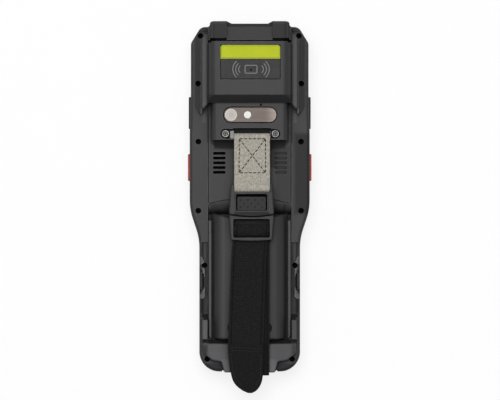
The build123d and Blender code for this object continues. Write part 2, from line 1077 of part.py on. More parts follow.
def label_recess():
    """Return the shallow recess for the labels."""
    top = body_top - label_top_gap
    return block(
        label_x - label_width / 2,
        label_x + label_width / 2,
        top - label_height,
        top,
        head_z - label_depth,
        head_z + 1,
    )


def latch_keeper():
    """Return the slot in the bay's end wall that the latch bolt enters."""
    y = -body_bottom + bay_bottom_gap
    half = latch_neck_width / 2 + latch_clearance
    return block(
        -half,
        half,
        y - latch_throw - 0.3,
        y,
        latch_bolt_z - latch_clearance,
        latch_bolt_z + latch_bolt_height + latch_clearance,
    )


def display_area():
    """Return the lower and upper y of the display window."""
    return crossbar / 2, body_top - glass_top_gap


def key_table():
    """Return each keypad key's name, place and size."""
    menu_key_x = field_width() / 2 - key_edge - menu_key_width / 2
    keys = {
        "key_menu": (-menu_key_x, scan_row, menu_key_width, menu_key_length),
        "key_scan": (0, scan_row, scan_key_width, scan_key_length),
        "key_back": (menu_key_x, scan_row, menu_key_width, menu_key_length),
    }
    names = ["1", "2", "3", "4", "5", "6", "7", "8", "9", "star", "0", "hash"]
    for index, name in enumerate(names):
        row, column = divmod(index, 3)
        x = (1 - column) * (key_width() + key_gap)
        y = key_first_row - row * key_pitch_y
        keys[f"key_{name}"] = (x, y, key_width(), key_length)
    return keys


def rounded_plate(x, y, width, length, radius, z0, z1):
    """Return an upright plate with rounded corners."""
    return prism(Pos(x, y) * RectangleRounded(width, length, radius), z0, z1)


def field_area():
    """Return the lower and upper y of the keypad field."""
    return -body_bottom + field_bottom_gap, -crossbar / 2 - field_top_gap


def field_width():
    """Return the width of the keypad field."""
    return grip_width - 2 * field_edge


def key_width():
    """Return the width of the digit keys, which share the field's width."""
    return (field_width() - 2 * key_edge - 2 * key_gap) / 3


def front_housing():
    """Return the front housing, with its display opening, keypad field and bosses."""
    solid = prism(body_outline(0), 0, parting_z)
    solid = fillet(solid.edges().group_by(Axis.Z)[0], front_round)
    solid -= prism(body_outline(wall), front_floor, parting_z + 1)
    inner = body_outline(wall + 0.25)
    bosses = [
        rod_z(x, y, front_floor - 0.5, board_seat_z, boss_diameter) for x, y in screw_places()
    ]
    field_low, field_high = field_area()
    field_y = (field_low + field_high) / 2
    field_length = field_high - field_low
    solid += rounded_plate(
        0,
        field_y,
        field_width() + 2 * mat_rib,
        field_length + 2 * mat_rib,
        field_round + mat_rib,
        front_floor - 0.5,
        mat_front_z(),
    )
    solid -= rounded_plate(
        0, field_y, field_width(), field_length, field_round, front_floor, mat_front_z()
    )
    shell_room = prism(inner, 0, board_seat_z) + prism(body_outline(seam_step), 0, parting_z)
    solid += Compound(bosses) & shell_room
    for x, y in screw_places():
        solid -= rod_z(x, y, screw_tip(), board_seat_z, screw_shank)
    low, high = display_area()
    middle = (low + high) / 2
    length = high - low
    solid -= rounded_plate(
        0,
        middle,
        glass_width + 2 * glass_fit,
        length + 2 * glass_fit,
        glass_round,
        -1,
        glass_sink + glass_thickness,
    )
    solid -= rounded_plate(
        0,
        middle,
        glass_width - 2 * glass_border,
        length - 2 * glass_border,
        glass_round - glass_border,
        0,
        front_floor + 1,
    )
    earpiece_y = (high + body_top) / 2
    solid -= capsule(0, earpiece_y, earpiece_width, earpiece_height, -1, front_floor + 1)
    solid -= rounded_plate(0, field_y, field_width(), field_length, field_round, -1, field_depth)
    for x, y, width, height in key_table().values():
        solid -= rounded_plate(
            x, y, width + 2 * key_fit, height + 2 * key_fit, key_round + key_fit, 0, front_floor + 1
        )
    groove = body_outline(wall * 0.3) - body_outline(wall * 0.75)
    solid -= prism(groove, parting_z - wall * 0.45, parting_z)
    return solid - end_notches()


def perimeter_gasket():
    """Return the seal ring in the front housing's rim."""
    ring = body_outline(wall * 0.3) - body_outline(wall * 0.75)
    return prism(ring, parting_z - wall * 0.45, parting_z)


def screw_tip():
    """Return the z that the case screws reach down to."""
    return board_seat_z - screw_bite


def case_screws():
    """Return the twelve case screws as one group."""
    screws = []
    for x, y in screw_places():
        screw = rod_z(x, y, screw_tip(), screw_seat_z, screw_shank)
        screw += rod_z(x, y, screw_seat_z, screw_seat_z + screw_head_height, screw_head)
        socket = Pos(x, y) * RegularPolygon(screw_head * 0.27, 6)
        top = screw_seat_z + screw_head_height
        screw -= prism(socket, top - screw_head_height * 0.6, top + 1)
        screws.append(screw)
    return Compound(screws)


def scan_bumper():
    """Return the cap over the head's end, with its two ears and the window frame."""
    end = body_top + bumper_reach
    corners = [
        (bumper_width / 2, body_top + 0.02),
        (ear_outer - 1.6, end),
        (ear_inner, end),
        (bumper_notch_width / 2 - 1.2, end - bumper_notch_depth),
    ]
    plan = mirrored_outline(corners, [0, 1.0, 0.8, 0.8])
    cap = prism(plan, bumper_floor_z, head_z + ear_rise)
    section = rounded_top_section(head_block_width, bumper_floor_z, head_z, head_round)
    cap = cap & section_x(section, body_top, end + 1)
    brow = polygon(
        [
            (end - bumper_brow_length, head_z),
            (end + 1, head_z - bumper_brow_drop),
            (end + 1, head_z + 2),
            (end - bumper_brow_length, head_z + 2),
        ]
    )
    cap -= section_y(brow, -ear_inner, ear_inner)
    lap_foot = body_top - bumper_lap
    lap = bumper_rebate() & block(
        -head_block_width, head_block_width, lap_foot + bumper_gap, body_top, 0, head_z + 1
    )
    under_ear = block(ear_inner, ear_outer, lap_foot, lap_foot + ear_gap, strip_z, head_z + 1)
    lap -= under_ear + mirror(under_ear, Plane.YZ)
    ears = head_section(-ear_rise) - head_section(0)
    ears = section_x(ears, lap_foot + ear_gap, end)
    ear_plan = block(ear_inner, ear_outer, lap_foot + ear_gap, end - 0.2, strip_z, head_z + 2)
    ear_plan = fillet(ear_plan.edges().filter_by(Axis.Z), 1.5)
    ear_pair = ears & (ear_plan + mirror(ear_plan, Plane.YZ))
    solid = cap + lap + ear_pair
    half = scan_window_width / 2
    rise = scan_window_height / 2
    solid -= block(
        -half,
        half,
        body_top - 1,
        body_top + scan_window_thickness + 0.1,
        scan_window_z - rise,
        scan_window_z + rise,
    )
    half -= scan_window_border
    rise -= scan_window_border
    solid -= block(-half, half, body_top, end + 1, scan_window_z - rise, scan_window_z + rise)
    return solid


def scan_window():
    """Return the scanner's window pane."""
    half = scan_window_width / 2 - 0.1
    rise = scan_window_height / 2 - 0.1
    return block(
        -half,
        half,
        body_top + 0.05,
        body_top + 0.05 + scan_window_thickness,
        scan_window_z - rise,
        scan_window_z + rise,
    )


def scanner_module():
    """Return the scan engine, with its lens barrel."""
    y1 = body_top - wall - 0.6
    half = scanner_width / 2
    rise = scanner_height / 2
    body = block(-half, half, y1 - scanner_length, y1, scan_window_z - rise, scan_window_z + rise)
    body = fillet(body.edges().filter_by(Axis.Y), 0.8)
    lens = Pos(0, y1, scan_window_z) * Rot(90, 0, 0) * Cylinder(3.2, 1.6)
    foot_top = scan_window_z - rise
    foot = block(-half, half, y1 - scanner_length, y1 - 6, board_seat_z + board_thickness, foot_top)
    return body - lens + foot


def bottom_cover():
    """Return the cover over the bottom end, with its tongue."""
    solid = prism(cover_outline(0), cover_deck_z, cover_z)
    solid = fillet(top_edges(solid), cover_round * 0.45)
    edge = section_x(
        rounded_top_section(cover_width, cover_deck_z - 1, cover_z, cover_round * 2),
        -body_bottom - tongue_reach,
        -body_bottom + cover_top_gap,
    )
    solid = solid & edge
    return solid


def camera_bezel():
    """Return the capsule plate that frames the lens and the flash."""
    solid = capsule(
        camera_plate_x,
        camera_plate_y,
        camera_plate_width,
        camera_plate_height,
        camera_z - camera_plate_thickness,
        camera_z + 0.15,
    )
    solid = chamfer(top_edges(solid), 0.2)
    solid -= rod_z(
        camera_lens_x, camera_plate_y, camera_z - 3, camera_z + 1, camera_lens_diameter + 0.2
    )
    solid -= rod_z(flash_x, camera_plate_y, camera_z - 3, camera_z + 1, flash_diameter + 0.2)
    return solid


def camera_window():
    """Return the clear disc over the camera."""
    top = camera_z + 0.05
    return rod_z(
        camera_lens_x, camera_plate_y, camera_z - camera_plate_thickness, top, camera_lens_diameter
    )


def camera_module():
    """Return the camera, a square body with a lens barrel, and its pedestal."""
    half = camera_module_side / 2
    top = camera_z - camera_plate_thickness - 0.1
    step = top - camera_module_height * 0.45
    solid = rod_z(camera_lens_x, camera_plate_y, step, top, camera_lens_diameter - 0.6)
    solid += block(
        camera_lens_x - half,
        camera_lens_x + half,
        camera_plate_y - half,
        camera_plate_y + half,
        top - camera_module_height,
        step - 1.2,
    )
    solid += rod_z(camera_lens_x, camera_plate_y, step - 1.2, step, camera_lens_diameter - 0.6)
    post = half * 0.7
    solid += block(
        camera_lens_x - post,
        camera_lens_x + post,
        camera_plate_y - post,
        camera_plate_y + post,
        board_seat_z + board_thickness,
        top - camera_module_height,
    )
    return solid


def flash_led():
    """Return the flash lamp with its lens, on a post from the board."""
    solid = rod_z(
        flash_x, camera_plate_y, camera_z - camera_plate_thickness - 2, camera_z, flash_diameter
    )
    solid += rod_z(
        flash_x,
        camera_plate_y,
        board_seat_z + board_thickness,
        camera_z - camera_plate_thickness - 2,
        flash_diameter * 0.7,
    )
    return solid


def reader_label():
    """Return the dark sheet label of the reader zone."""
    z0 = head_z - label_depth
    top = body_top - label_top_gap - 0.2
    bottom = top - label_height + 0.4
    half = label_width / 2 - 0.2
    sheet = block(label_x - half, label_x + half, bottom, top, z0, z0 + label_thickness)
    return fillet(sheet.edges().filter_by(Axis.Z), label_round)


def yellow_label():
    """Return the yellow label stuck on the upper part of the dark one."""
    z0 = head_z - label_depth + label_thickness
    top = body_top - label_top_gap - 0.3
    half = label_width / 2 - 0.4
    bottom = top - yellow_height
    sheet = block(label_x - half, label_x + half, bottom, top, z0, z0 + label_thickness * 0.6)
    upper_corners = sheet.edges().filter_by(Axis.Z).group_by(Axis.Y)[-1]
    return fillet(upper_corners, yellow_round)


def reader_antenna():
    """Return the flat antenna coil under the head's roof."""
    z1 = head_z - label_depth - wall
    y = body_top - label_top_gap - label_height / 2
    half = label_width / 2 - 2
    reach = label_height / 2 - 1.5
    ring = Rectangle(2 * half, 2 * reach)
    ring -= Rectangle(2 * (half - antenna_turn_width), 2 * (reach - antenna_turn_width))
    return prism(Pos(label_x, y) * ring, z1 - 0.3, z1)


def boss_notches(z0, z1, diameter):
    """Return an upright rod at every case screw."""
    return Compound([rod_z(x, y, z0, z1, diameter) for x, y in screw_places()])


def main_board():
    """Return the main circuit board, clamped between the bosses and the columns."""
    z0 = board_seat_z
    z1 = z0 + board_thickness
    solid = prism(body_outline(wall + board_margin + 1.2), z0, z1)
    solid += boss_notches(z0, z1, boss_diameter) & prism(body_outline(wall + 0.3), z0, z1)
    solid -= boss_notches(z0 - 1, z1 + 1, screw_clearance_hole)
    return solid


def side_switches():
    """Return the four switches that the edge keys press."""
    switches = []
    for side, y, _length, _height, _proud in edge_key_places().values():
        x1 = edge_key_inner_x() - edge_key_travel - 0.1
        half = switch_length / 2
        z0 = board_seat_z + board_thickness
        switch = block(x1 - switch_depth, x1, y - half, y + half, z0, z0 + switch_height)
        switches.append(switch if side > 0 else mirror(switch, Plane.YZ))
    return Compound(switches)


def edge_key_inner_x():
    """Return the x of the edge keys' inner faces."""
    inner_wall = min(head_width, waist_width) / 2 - wall
    return inner_wall - edge_key_flange_gap - edge_key_flange_thickness


def edge_key(name):
    """Return one edge key: its cap outside the wall and its flange inside."""
    side, y, length, height, proud = edge_key_places()[name]
    x0 = edge_key_inner_x()
    x1 = waist_width / 2 + proud
    cap = edge_key_prism(length, height, edge_key_round, x0, x1, y)
    cap = fillet(cap.edges().group_by(Axis.X)[-1], min(edge_key_crown, proud * 0.9))
    margin = 2 * edge_key_flange
    flange = edge_key_prism(
        length + margin,
        height + margin,
        edge_key_round,
        x0,
        x0 + edge_key_flange_thickness,
        y,
    )
    solid = cap + flange
    return solid if side > 0 else mirror(solid, Plane.YZ)


def speaker():
    """Return the loudspeaker behind its slots, with its frame down to the board."""
    half = speaker_width / 2
    reach = speaker_length / 2
    z1 = ledge_z - wall
    body = block(
        speaker_x - half,
        speaker_x + half,
        speaker_y - reach,
        speaker_y + reach,
        z1 - speaker_height,
        z1 - 0.4,
    )
    body = fillet(body.edges().filter_by(Axis.Z), 2.5)
    foot = block(
        speaker_x - half / 2,
        speaker_x + half / 2,
        speaker_y - reach / 2,
        speaker_y + reach / 2,
        board_seat_z + board_thickness,
        z1 - speaker_height,
    )
    return body + foot


def battery_bottom():
    """Return the y of the battery's lower end."""
    return -body_bottom + bay_bottom_gap + battery_gap


def hump_section():
    """Return the crowned section of the battery's back."""
    foot_half = hump_width / 2
    shoulder_half = hump_shoulder_width / 2
    crown = ThreePointArc(
        (shoulder_half, hump_shoulder_z), (0, hump_z), (-shoulder_half, hump_shoulder_z)
    )
    root_z = scoop_floor_z - 0.4
    sides = Polyline(
        (-shoulder_half, hump_shoulder_z),
        (-foot_half, hump_foot_z),
        (-foot_half, root_z),
        (foot_half, root_z),
        (foot_half, hump_foot_z),
        (shoulder_half, hump_shoulder_z),
    )
    face = make_face([crown, sides])
    return fillet(face.vertices().group_by(Axis.Y)[-1], hump_shoulder_round)


def hump():
    """Return the battery's hump, whose upper end is a shallow bow."""
    solid = section_x(hump_section(), battery_bottom(), 0)
    half = bay_width / 2
    bow = ThreePointArc(
        (-half, hump_top_side_y), (0, hump_top_middle_y), (half, hump_top_side_y)
    )
    rest = Polyline(
        (half, hump_top_side_y), (half, body_top), (-half, body_top), (-half, hump_top_side_y)
    )
    solid -= prism(make_face([bow, rest]), parting_z, head_z)
    rim = solid.edges().filter_by(lambda e: e.center().Z > battery_valley_z + 0.5)
    rim = rim.filter_by(lambda e: abs(e.tangent_at(0.5).Y) < 0.6)
    return fillet(rim, hump_round)


def latch_y():
    """Return the y of the latch recess's middle."""
    return battery_bottom() + latch_recess_y_gap


def latch_room(grow):
    """Return the room of the latch's neck and bolt, grown by a clearance and its travel."""
    y0 = latch_y() - latch_recess_height / 2
    neck_y = y0 + latch_clearance + latch_pad_depth / 2
    neck_half = latch_neck_width / 2 + grow
    travel = latch_travel if grow else 0
    neck = block(
        -neck_half,
        neck_half,
        neck_y - latch_neck_depth / 2 - grow,
        neck_y + latch_neck_depth / 2 + grow + travel,
        latch_bolt_z,
        hump_z - latch_recess_depth + latch_clearance + 0.1,
    )
    bolt_end = battery_bottom() - latch_throw if not grow else battery_bottom() - 5
    bolt = block(
        -neck_half,
        neck_half,
        bolt_end,
        neck_y + latch_neck_depth / 2 + grow + travel,
        latch_bolt_z - grow,
        latch_bolt_z + latch_bolt_height + grow,
    )
    return neck + bolt


def battery_shell():
    """Return the battery's case, with its crowned back, rims and latch recess."""
    base = prism(bay_outline(battery_gap), bay_floor_z + battery_gap, battery_rim_z)
    base = fillet(top_edges(base), battery_rim_round)
    rim_inner = bay_width / 2 - battery_gap - battery_rim_width
    lean = battery_rim_slope / (battery_rim_z - battery_valley_z)
    valley_section = polygon(
        [
            (hump_shoulder_width / 2, battery_valley_z),
            (rim_inner - battery_rim_slope, battery_valley_z),
            (rim_inner + lean, battery_rim_z + 1),
            (hump_shoulder_width / 2, battery_rim_z + 1),
        ]
    )
    valley = section_x(valley_section, battery_bottom() - 1, hump_top_side_y)
    base -= valley + mirror(valley, Plane.YZ)
    base -= scoop()
    solid = base + hump()
    solid -= cells_room(0.15)
    solid -= capsule(
        0,
        latch_y(),
        latch_recess_width,
        latch_recess_height,
        hump_z - latch_recess_depth,
        head_z,
    )
    solid -= latch_room(latch_clearance)
    half = contact_width / 2 + battery_gap
    reach = contact_depth / 2 + battery_gap
    solid -= block(
        -half,
        half,
        contact_y - reach,
        contact_y + reach,
        bay_floor_z,
        bay_floor_z + battery_gap + 1.2,
    )
    return solid


def scoop():
    """Return the finger scoop above the hump, a ramp that falls ever more steeply."""
    drop = battery_rim_z - scoop_floor_z
    radius = (scoop_length**2 + drop**2) / (2 * drop)
    half_turn = scoop_length / 2
    sag = radius - (radius**2 - half_turn**2) ** 0.5
    end_y = scoop_top_y - scoop_length
    ramp = ThreePointArc(
        (scoop_top_y, battery_rim_z),
        (scoop_top_y - half_turn, battery_rim_z - sag),
        (end_y, scoop_floor_z),
    )
    far_y = hump_top_middle_y - 1
    rest = Polyline(
        (end_y, scoop_floor_z),
        (far_y, scoop_floor_z),
        (far_y, head_z),
        (scoop_top_y, head_z),
        (scoop_top_y, battery_rim_z),
    )
    return section_y(make_face([ramp, rest]), -bay_width, bay_width)


def cells_room(grow):
    """Return the block of the battery cells, grown by a clearance."""
    top = hump_shoulder_z - cell_wall
    y0 = latch_y() + latch_recess_height
    half = cell_width / 2
    return block(
        -half - grow,
        half + grow,
        y0 - grow,
        y0 + cell_length + grow,
        top - cell_height - grow,
        top + grow,
    )


def battery_cells():
    """Return the cell pack in the battery's case."""
    pack = cells_room(0)
    return fillet(pack.edges().filter_by(Axis.Y), 2.0)


def battery_contacts():
    """Return the contact block between the main board and the battery."""
    half = contact_width / 2
    reach = contact_depth / 2
    z0 = board_seat_z + board_thickness
    solid = block(-half, half, contact_y - reach, contact_y + reach, z0, bay_floor_z)
    pitch = contact_width / contact_count
    for index in range(contact_count):
        x = (index - (contact_count - 1) / 2) * pitch
        blade = block(
            x - pitch / 6,
            x + pitch / 6,
            contact_y - reach * 0.8,
            contact_y + reach * 0.8,
            bay_floor_z,
            bay_floor_z + battery_gap + 0.9,
        )
        solid += blade
    return solid


def battery_latch():
    """Return the spring-loaded latch: its pad, neck and bolt."""
    y0 = latch_y() - latch_recess_height / 2 + latch_clearance
    floor = hump_z - latch_recess_depth + latch_clearance
    pad = block(
        -latch_pad_width / 2,
        latch_pad_width / 2,
        y0,
        y0 + latch_pad_depth,
        floor,
        floor + latch_pad_height,
    )
    pad = fillet(pad.edges().filter_by(Axis.Z), 1.2)
    for rib in range(3):
        x = (rib - 1) * latch_pad_width / 4
        pad -= block(x - 0.4, x + 0.4, y0 - 1, y0 + 5, floor + latch_pad_height - 0.4, head_z)
    return pad + latch_room(0)


def bar_screw_places():
    """Return the x of the two strap bar screws, at the ends of the recess."""
    half = (bar_recess_width - bar_recess_height) / 2
    return bar_recess_x - half, bar_recess_x + half


def bar_screw_tip():
    """Return the z that the strap bar screws reach down to."""
    return camera_z - bar_recess_depth + bar_eye_thickness - bar_screw_length


def bar_axis_z():
    """Return the height of the strap bar's axis."""
    return camera_z - bar_recess_depth + bar_diameter / 2


def strap_bar():
    """Return the metal bar that holds the webbing tab, cranked from its two eyes."""
    floor = camera_z - bar_recess_depth
    arm = bar_arm_width / 2
    half = tab_width / 2 + strap_clearance
    y = bar_axis_y()
    reach = half + strap_clearance / 2
    solid = rod_x(tab_x - reach, tab_x + reach, y, bar_axis_z(), bar_diameter)
    cheek_y = bar_recess_y - bar_recess_height / 2 + bar_cheek_gap / 2
    cheek_inset = bar_screw_head / 2 + bar_cheek_gap
    for x, side in zip(bar_screw_places(), (-1, 1)):
        inner = tab_x + side * half
        outer = x - side * cheek_inset
        solid += rod_z(x, bar_recess_y, floor, floor + bar_eye_thickness, bar_eye_diameter)
        solid += block(
            min(x, inner),
            max(x, inner),
            bar_recess_y - arm,
            bar_recess_y + arm,
            floor,
            floor + bar_eye_thickness,
        )
        solid += block(
            min(inner, outer), max(inner, outer), cheek_y, bar_recess_y + arm, floor, floor + bar_diameter
        )
        solid -= rod_z(x, bar_recess_y, floor - 1, camera_z, bar_screw_shank + 0.2)
    return solid


def strap_bar_screws():
    """Return the two screws of the strap bar as one group."""
    seat = camera_z - bar_recess_depth + bar_eye_thickness
    screws = []
    for x in bar_screw_places():
        screw = rod_z(x, bar_recess_y, bar_screw_tip(), seat, bar_screw_shank)
        head = rod_z(x, bar_recess_y, seat, seat + bar_screw_head_height, bar_screw_head)
        head = chamfer(top_edges(head), 0.3)
        socket = Pos(x, bar_recess_y) * RegularPolygon(bar_screw_socket, 6)
        head -= prism(socket, seat + 0.4, seat + 5)
        screws.append(screw + head)
    return Compound(screws)


def socket_bar_z():
    """Return the height of the buckle socket's webbing bar."""
    return buckle_base + socket_thickness / 2 - 0.7


def ring_face(y, z, inner, outer):
    """Return a ring at a place of the body's long section."""
    return Pos(y, z) * (Circle(outer) - Circle(inner))


def strap_tab():
    """Return the two-ply webbing tab between the strap bar and the buckle."""
    inner_top = bar_diameter / 2 + loop_gap
    inner_bottom = socket_bar_diameter / 2 + loop_gap
    start = (bar_axis_y(), bar_axis_z())
    end = (socket_bar_y, socket_bar_z())
    band = trace(Line(start, end), 2 * webbing_thickness)
    band += Pos(*start) * Circle(inner_top + webbing_thickness)
    band += Pos(*end) * Circle(inner_bottom + webbing_thickness)
    band -= Pos(*start) * Circle(inner_top)
    band -= Pos(*end) * Circle(inner_bottom)
    return section_y(band, tab_x - tab_width / 2, tab_x + tab_width / 2)


def trapezoid(x, y0, width0, y1, width1, radius):
    """Return a plan trapezoid with rounded corners."""
    corners = [(width0 / 2, y0), (width1 / 2, y1)]
    return Pos(x, 0) * mirrored_outline(corners, [radius, radius])


def bowed_trapezoid(x, y0, width0, bow0, y1, width1, bow1, radius):
    """Return a plan trapezoid whose lower and upper edges sag by bow0 and bow1."""
    low = ThreePointArc((-width0 / 2, y0), (0, y0 - bow0), (width0 / 2, y0))
    right = Line((width0 / 2, y0), (width1 / 2, y1))
    left = Line((-width1 / 2, y1), (-width0 / 2, y0))
    if bow1:
        high = ThreePointArc((width1 / 2, y1), (0, y1 - bow1), (-width1 / 2, y1))
    else:
        high = Line((width1 / 2, y1), (-width1 / 2, y1))
    face = make_face([low, right, high, left])
    return Pos(x, 0) * fillet(face.vertices(), radius)


def window_area():
    """Return the lower and upper y of the buckle's window."""
    loop = socket_bar_diameter / 2 + loop_gap + webbing_thickness
    top = socket_bar_y - loop - 0.2 - socket_bridge
    return top - window_length, top


def buckle_socket():
    """Return the upper half of the buckle, with its window and webbing bar."""
    z0 = buckle_base
    z1 = buckle_base + socket_thickness
    plan = bowed_trapezoid(
        buckle_x,
        socket_bottom,
        socket_bottom_width,
        socket_bow,
        socket_top,
        socket_top_width,
        0,
        socket_round,
    )
    solid = prism(plan, z0, z1)
    solid = fillet(top_edges(solid), socket_edge_round)
    low, high = window_area()
    slot_half = tab_width / 2 + strap_clearance
    slot_low = high + socket_bridge
    solid -= block(
        tab_x - slot_half, tab_x + slot_half, slot_low, socket_top + 1, z0 - 1, z1 + 1
    )
    solid += rod_x(
        tab_x - slot_half - 0.4,
        tab_x + slot_half + 0.4,
        socket_bar_y,
        socket_bar_z(),
        socket_bar_diameter,
    )
    solid -= block(
        buckle_x - plug_cavity_half(),
        buckle_x + plug_cavity_half(),
        socket_bottom - socket_bow - 1,
        high,
        z0 + socket_floor,
        z1 - socket_skin,
    )
    middle = (low + high) / 2
    window = rounded_plate(
        buckle_x, middle, window_width, window_length, window_round, z0 + socket_floor, z1 + 1
    )
    frame_half = window_frame_width / 2
    frame = bowed_trapezoid(
        buckle_x,
        low - window_frame_reach + socket_bow / 2,
        2 * frame_half,
        socket_bow / 2,
        high + 0.1,
        2 * frame_half,
        0,
        window_round,
    )
    return solid - window - prism(frame, z1 - window_frame_depth, z1 + 1)


def plug_cavity_half():
    """Return half the width of the room inside the buckle socket."""
    return socket_bottom_width / 2 - socket_arm - 1.4


def plug_top_y():
    """Return the y of the buckle plug's shoulder."""
    return socket_bottom - plug_gap


def buckle_plug():
    """Return the lower half of the buckle, a ladder slide with two guide prongs."""
    z0 = buckle_base
    z1 = buckle_base + socket_thickness
    top = plug_top_y()
    bottom = top - plug_length
    plan = bowed_trapezoid(
        buckle_x,
        bottom,
        plug_bottom_width,
        plug_foot_bow,
        top,
        plug_top_width,
        socket_bow,
        plug_round,
    )
    solid = prism(plan, z0, z1)
    solid = fillet(top_edges(solid), plug_edge_round)
    opening_low = bottom + plug_foot
    opening_high = top - plug_shoulder
    solid -= rounded_plate(
        buckle_x,
        (opening_low + opening_high) / 2,
        plug_slot_width,
        opening_high - opening_low,
        plug_slot_round,
        z0 - 1,
        z1 + 1,
    )
    half = plug_bottom_width / 2
    foot_z = strap_upper_z() + webbing_thickness / 2 + strap_clearance
    solid -= block(
        strap_x - strap_width / 2 - strap_clearance,
        strap_x + strap_width / 2 + strap_clearance,
        bottom - plug_foot_bow - 1,
        opening_low + 1,
        z0 - 1,
        foot_z,
    )
    bar_half = plug_bar_depth / 2
    solid += block(
        buckle_x - half + 1,
        buckle_x + half - 1,
        plug_bar_y - bar_half,
        plug_bar_y + bar_half,
        plug_bar_z() - plug_bar_height / 2,
        plug_bar_z() + plug_bar_height / 2,
    )
    prong_x = plug_cavity_half() - 0.2
    prong_z = release_z()
    for side in (-1, 1):
        outer = buckle_x + side * prong_x
        inner = buckle_x + side * (prong_x - plug_prong_width)
        solid += block(
            min(outer, inner),
            max(outer, inner),
            top - plug_shoulder,
            top + window_length,
            prong_z - plug_prong_height / 2,
            prong_z + plug_prong_height / 2,
        )
    return solid


def plug_bar_z():
    """Return the height of the buckle plug's middle bar."""
    return buckle_base + socket_thickness / 2 - 0.3


def release_z():
    """Return the height of the release tongue's middle."""
    return buckle_base + socket_thickness - socket_skin - release_thickness / 2 - 0.3


def release_root_y():
    """Return the y of the release tongue's root."""
    return plug_top_y() - socket_bow * 0.55


def buckle_release():
    """Return the springy tongue with the pad that shows in the buckle's window."""
    low, high = window_area()
    half = window_width / 2 - release_side_gap
    z = release_z()
    solid = block(
        buckle_x - half,
        buckle_x + half,
        release_root_y(),
        low + release_pad_length + release_gap,
        z - release_thickness / 2,
        z + release_thickness / 2,
    )
    pad = rounded_plate(
        buckle_x,
        low + release_gap + release_pad_length / 2,
        2 * half,
        release_pad_length,
        1.0,
        z,
        z + release_thickness / 2 + release_pad_rise,
    )
    return solid + pad


def strap_under_z():
    """Return the height of the elastic's lower ply over the battery."""
    return hump_z + 0.3 + webbing_thickness / 2


def strap_upper_z():
    """Return the height of the elastic's upper ply over the battery."""
    return strap_under_z() + webbing_thickness + strap_ply_gap


def elastic_strap():
    """Return the elastic: its fold round the plug's bar, both plies and the lower loop."""
    half = webbing_thickness / 2
    fold_low = strap_under_z()
    fold_high = plug_bar_z() + plug_bar_height / 2 + strap_fold_top_gap + half
    fold_y = plug_bar_y + plug_bar_depth / 2 + strap_fold_nose_gap + half
    back_y = plug_bar_y - plug_bar_depth / 2
    cover_ply = cover_z + strap_cover_gap + half
    end_y = -body_bottom - tongue_reach - strap_clearance - half
    low_z = lower_bar_z - bar_diameter / 2 - loop_gap - half
    route = FilletPolyline(
        (back_y - strap_fold_reach, strap_upper_z()),
        (back_y - strap_fold_start, strap_upper_z()),
        (back_y - strap_fold_end, fold_high),
        (fold_y, fold_high),
        (fold_y, fold_low),
        (battery_bottom() - strap_drop_start, fold_low),
        (battery_bottom() - strap_drop_end, cover_ply),
        (end_y, cover_ply),
        (end_y, low_z),
        (lower_bar_y() - strap_loop_lap, low_z),
        radius=strap_fold_radii,
    )
    section = trace(route, webbing_thickness)
    inner = bar_diameter / 2 + loop_gap
    ring = ring_face(lower_bar_y(), lower_bar_z, inner, inner + webbing_thickness)
    section += ring
    ply = section_y(section, strap_x - strap_width / 2, strap_x + strap_width / 2)
    y0 = back_y - strap_tail_lap
    y1 = end_tab_top_y()
    x0 = strap_tail_start_x
    x1 = strap_tail_end_x
    start_half = strap_tail_start_width / 2
    end_half = strap_tail_end_width / 2
    plan = polygon(
        [(x0 - start_half, y0), (x0 + start_half, y0), (x1 + end_half, y1), (x1 - end_half, y1)]
    )
    tail = prism(plan, strap_upper_z() - half, strap_upper_z() + half)
    return ply + tail


def end_tab_top_y():
    """Return the y where the elastic's tail meets its end tab."""
    return -body_bottom + cover_top_gap - end_tab_lap


def strap_end_tab():
    """Return the sewn end tab of the elastic's tail, with its rounded tip."""
    y0 = end_tab_top_y() - end_tab_gap
    y1 = y0 - end_tab_length
    left = strap_tail_end_x - strap_tail_end_width / 2
    right = strap_tail_end_x + strap_tail_end_width / 2
    neck_y = y1 + end_tab_tip_length
    neck_left = left + end_tab_taper
    left_reach, left_rise = end_tab_tip_left
    right_reach, right_rise = end_tab_tip_right
    tip_left = Spline(
        (neck_left, neck_y),
        (end_tab_tip_x - left_reach, y1 + left_rise),
        (end_tab_tip_x, y1),
        tangents=[(end_tab_tip_lean, -1), (1, 0)],
    )
    tip_right = Spline(
        (end_tab_tip_x, y1),
        (end_tab_tip_x + right_reach, y1 + right_rise),
        (right, neck_y),
        tangents=[(1, 0), (0, 1)],
    )
    sides = Polyline((right, neck_y), (right, y0), (left, y0), (neck_left, neck_y))
    plan = make_face([tip_left, tip_right, sides])
    half_thick = end_tab_thickness / 2
    drop = end_tab_drop
    z = strap_upper_z()
    solid = prism(plan, z - half_thick - drop, z + half_thick)
    low = z - half_thick
    high = z + half_thick
    wedge = polygon([(y0, low), (y0, high), (y1, high - drop), (y1, low - drop)])
    return solid & section_y(wedge, -grip_width, grip_width)


def lower_strap_bar():
    """Return the steel bar in the bottom end that the elastic loops round."""
    x0, x1 = lower_bar_ends()
    return rod_x(x0, x1, lower_bar_y(), lower_bar_z, bar_diameter)


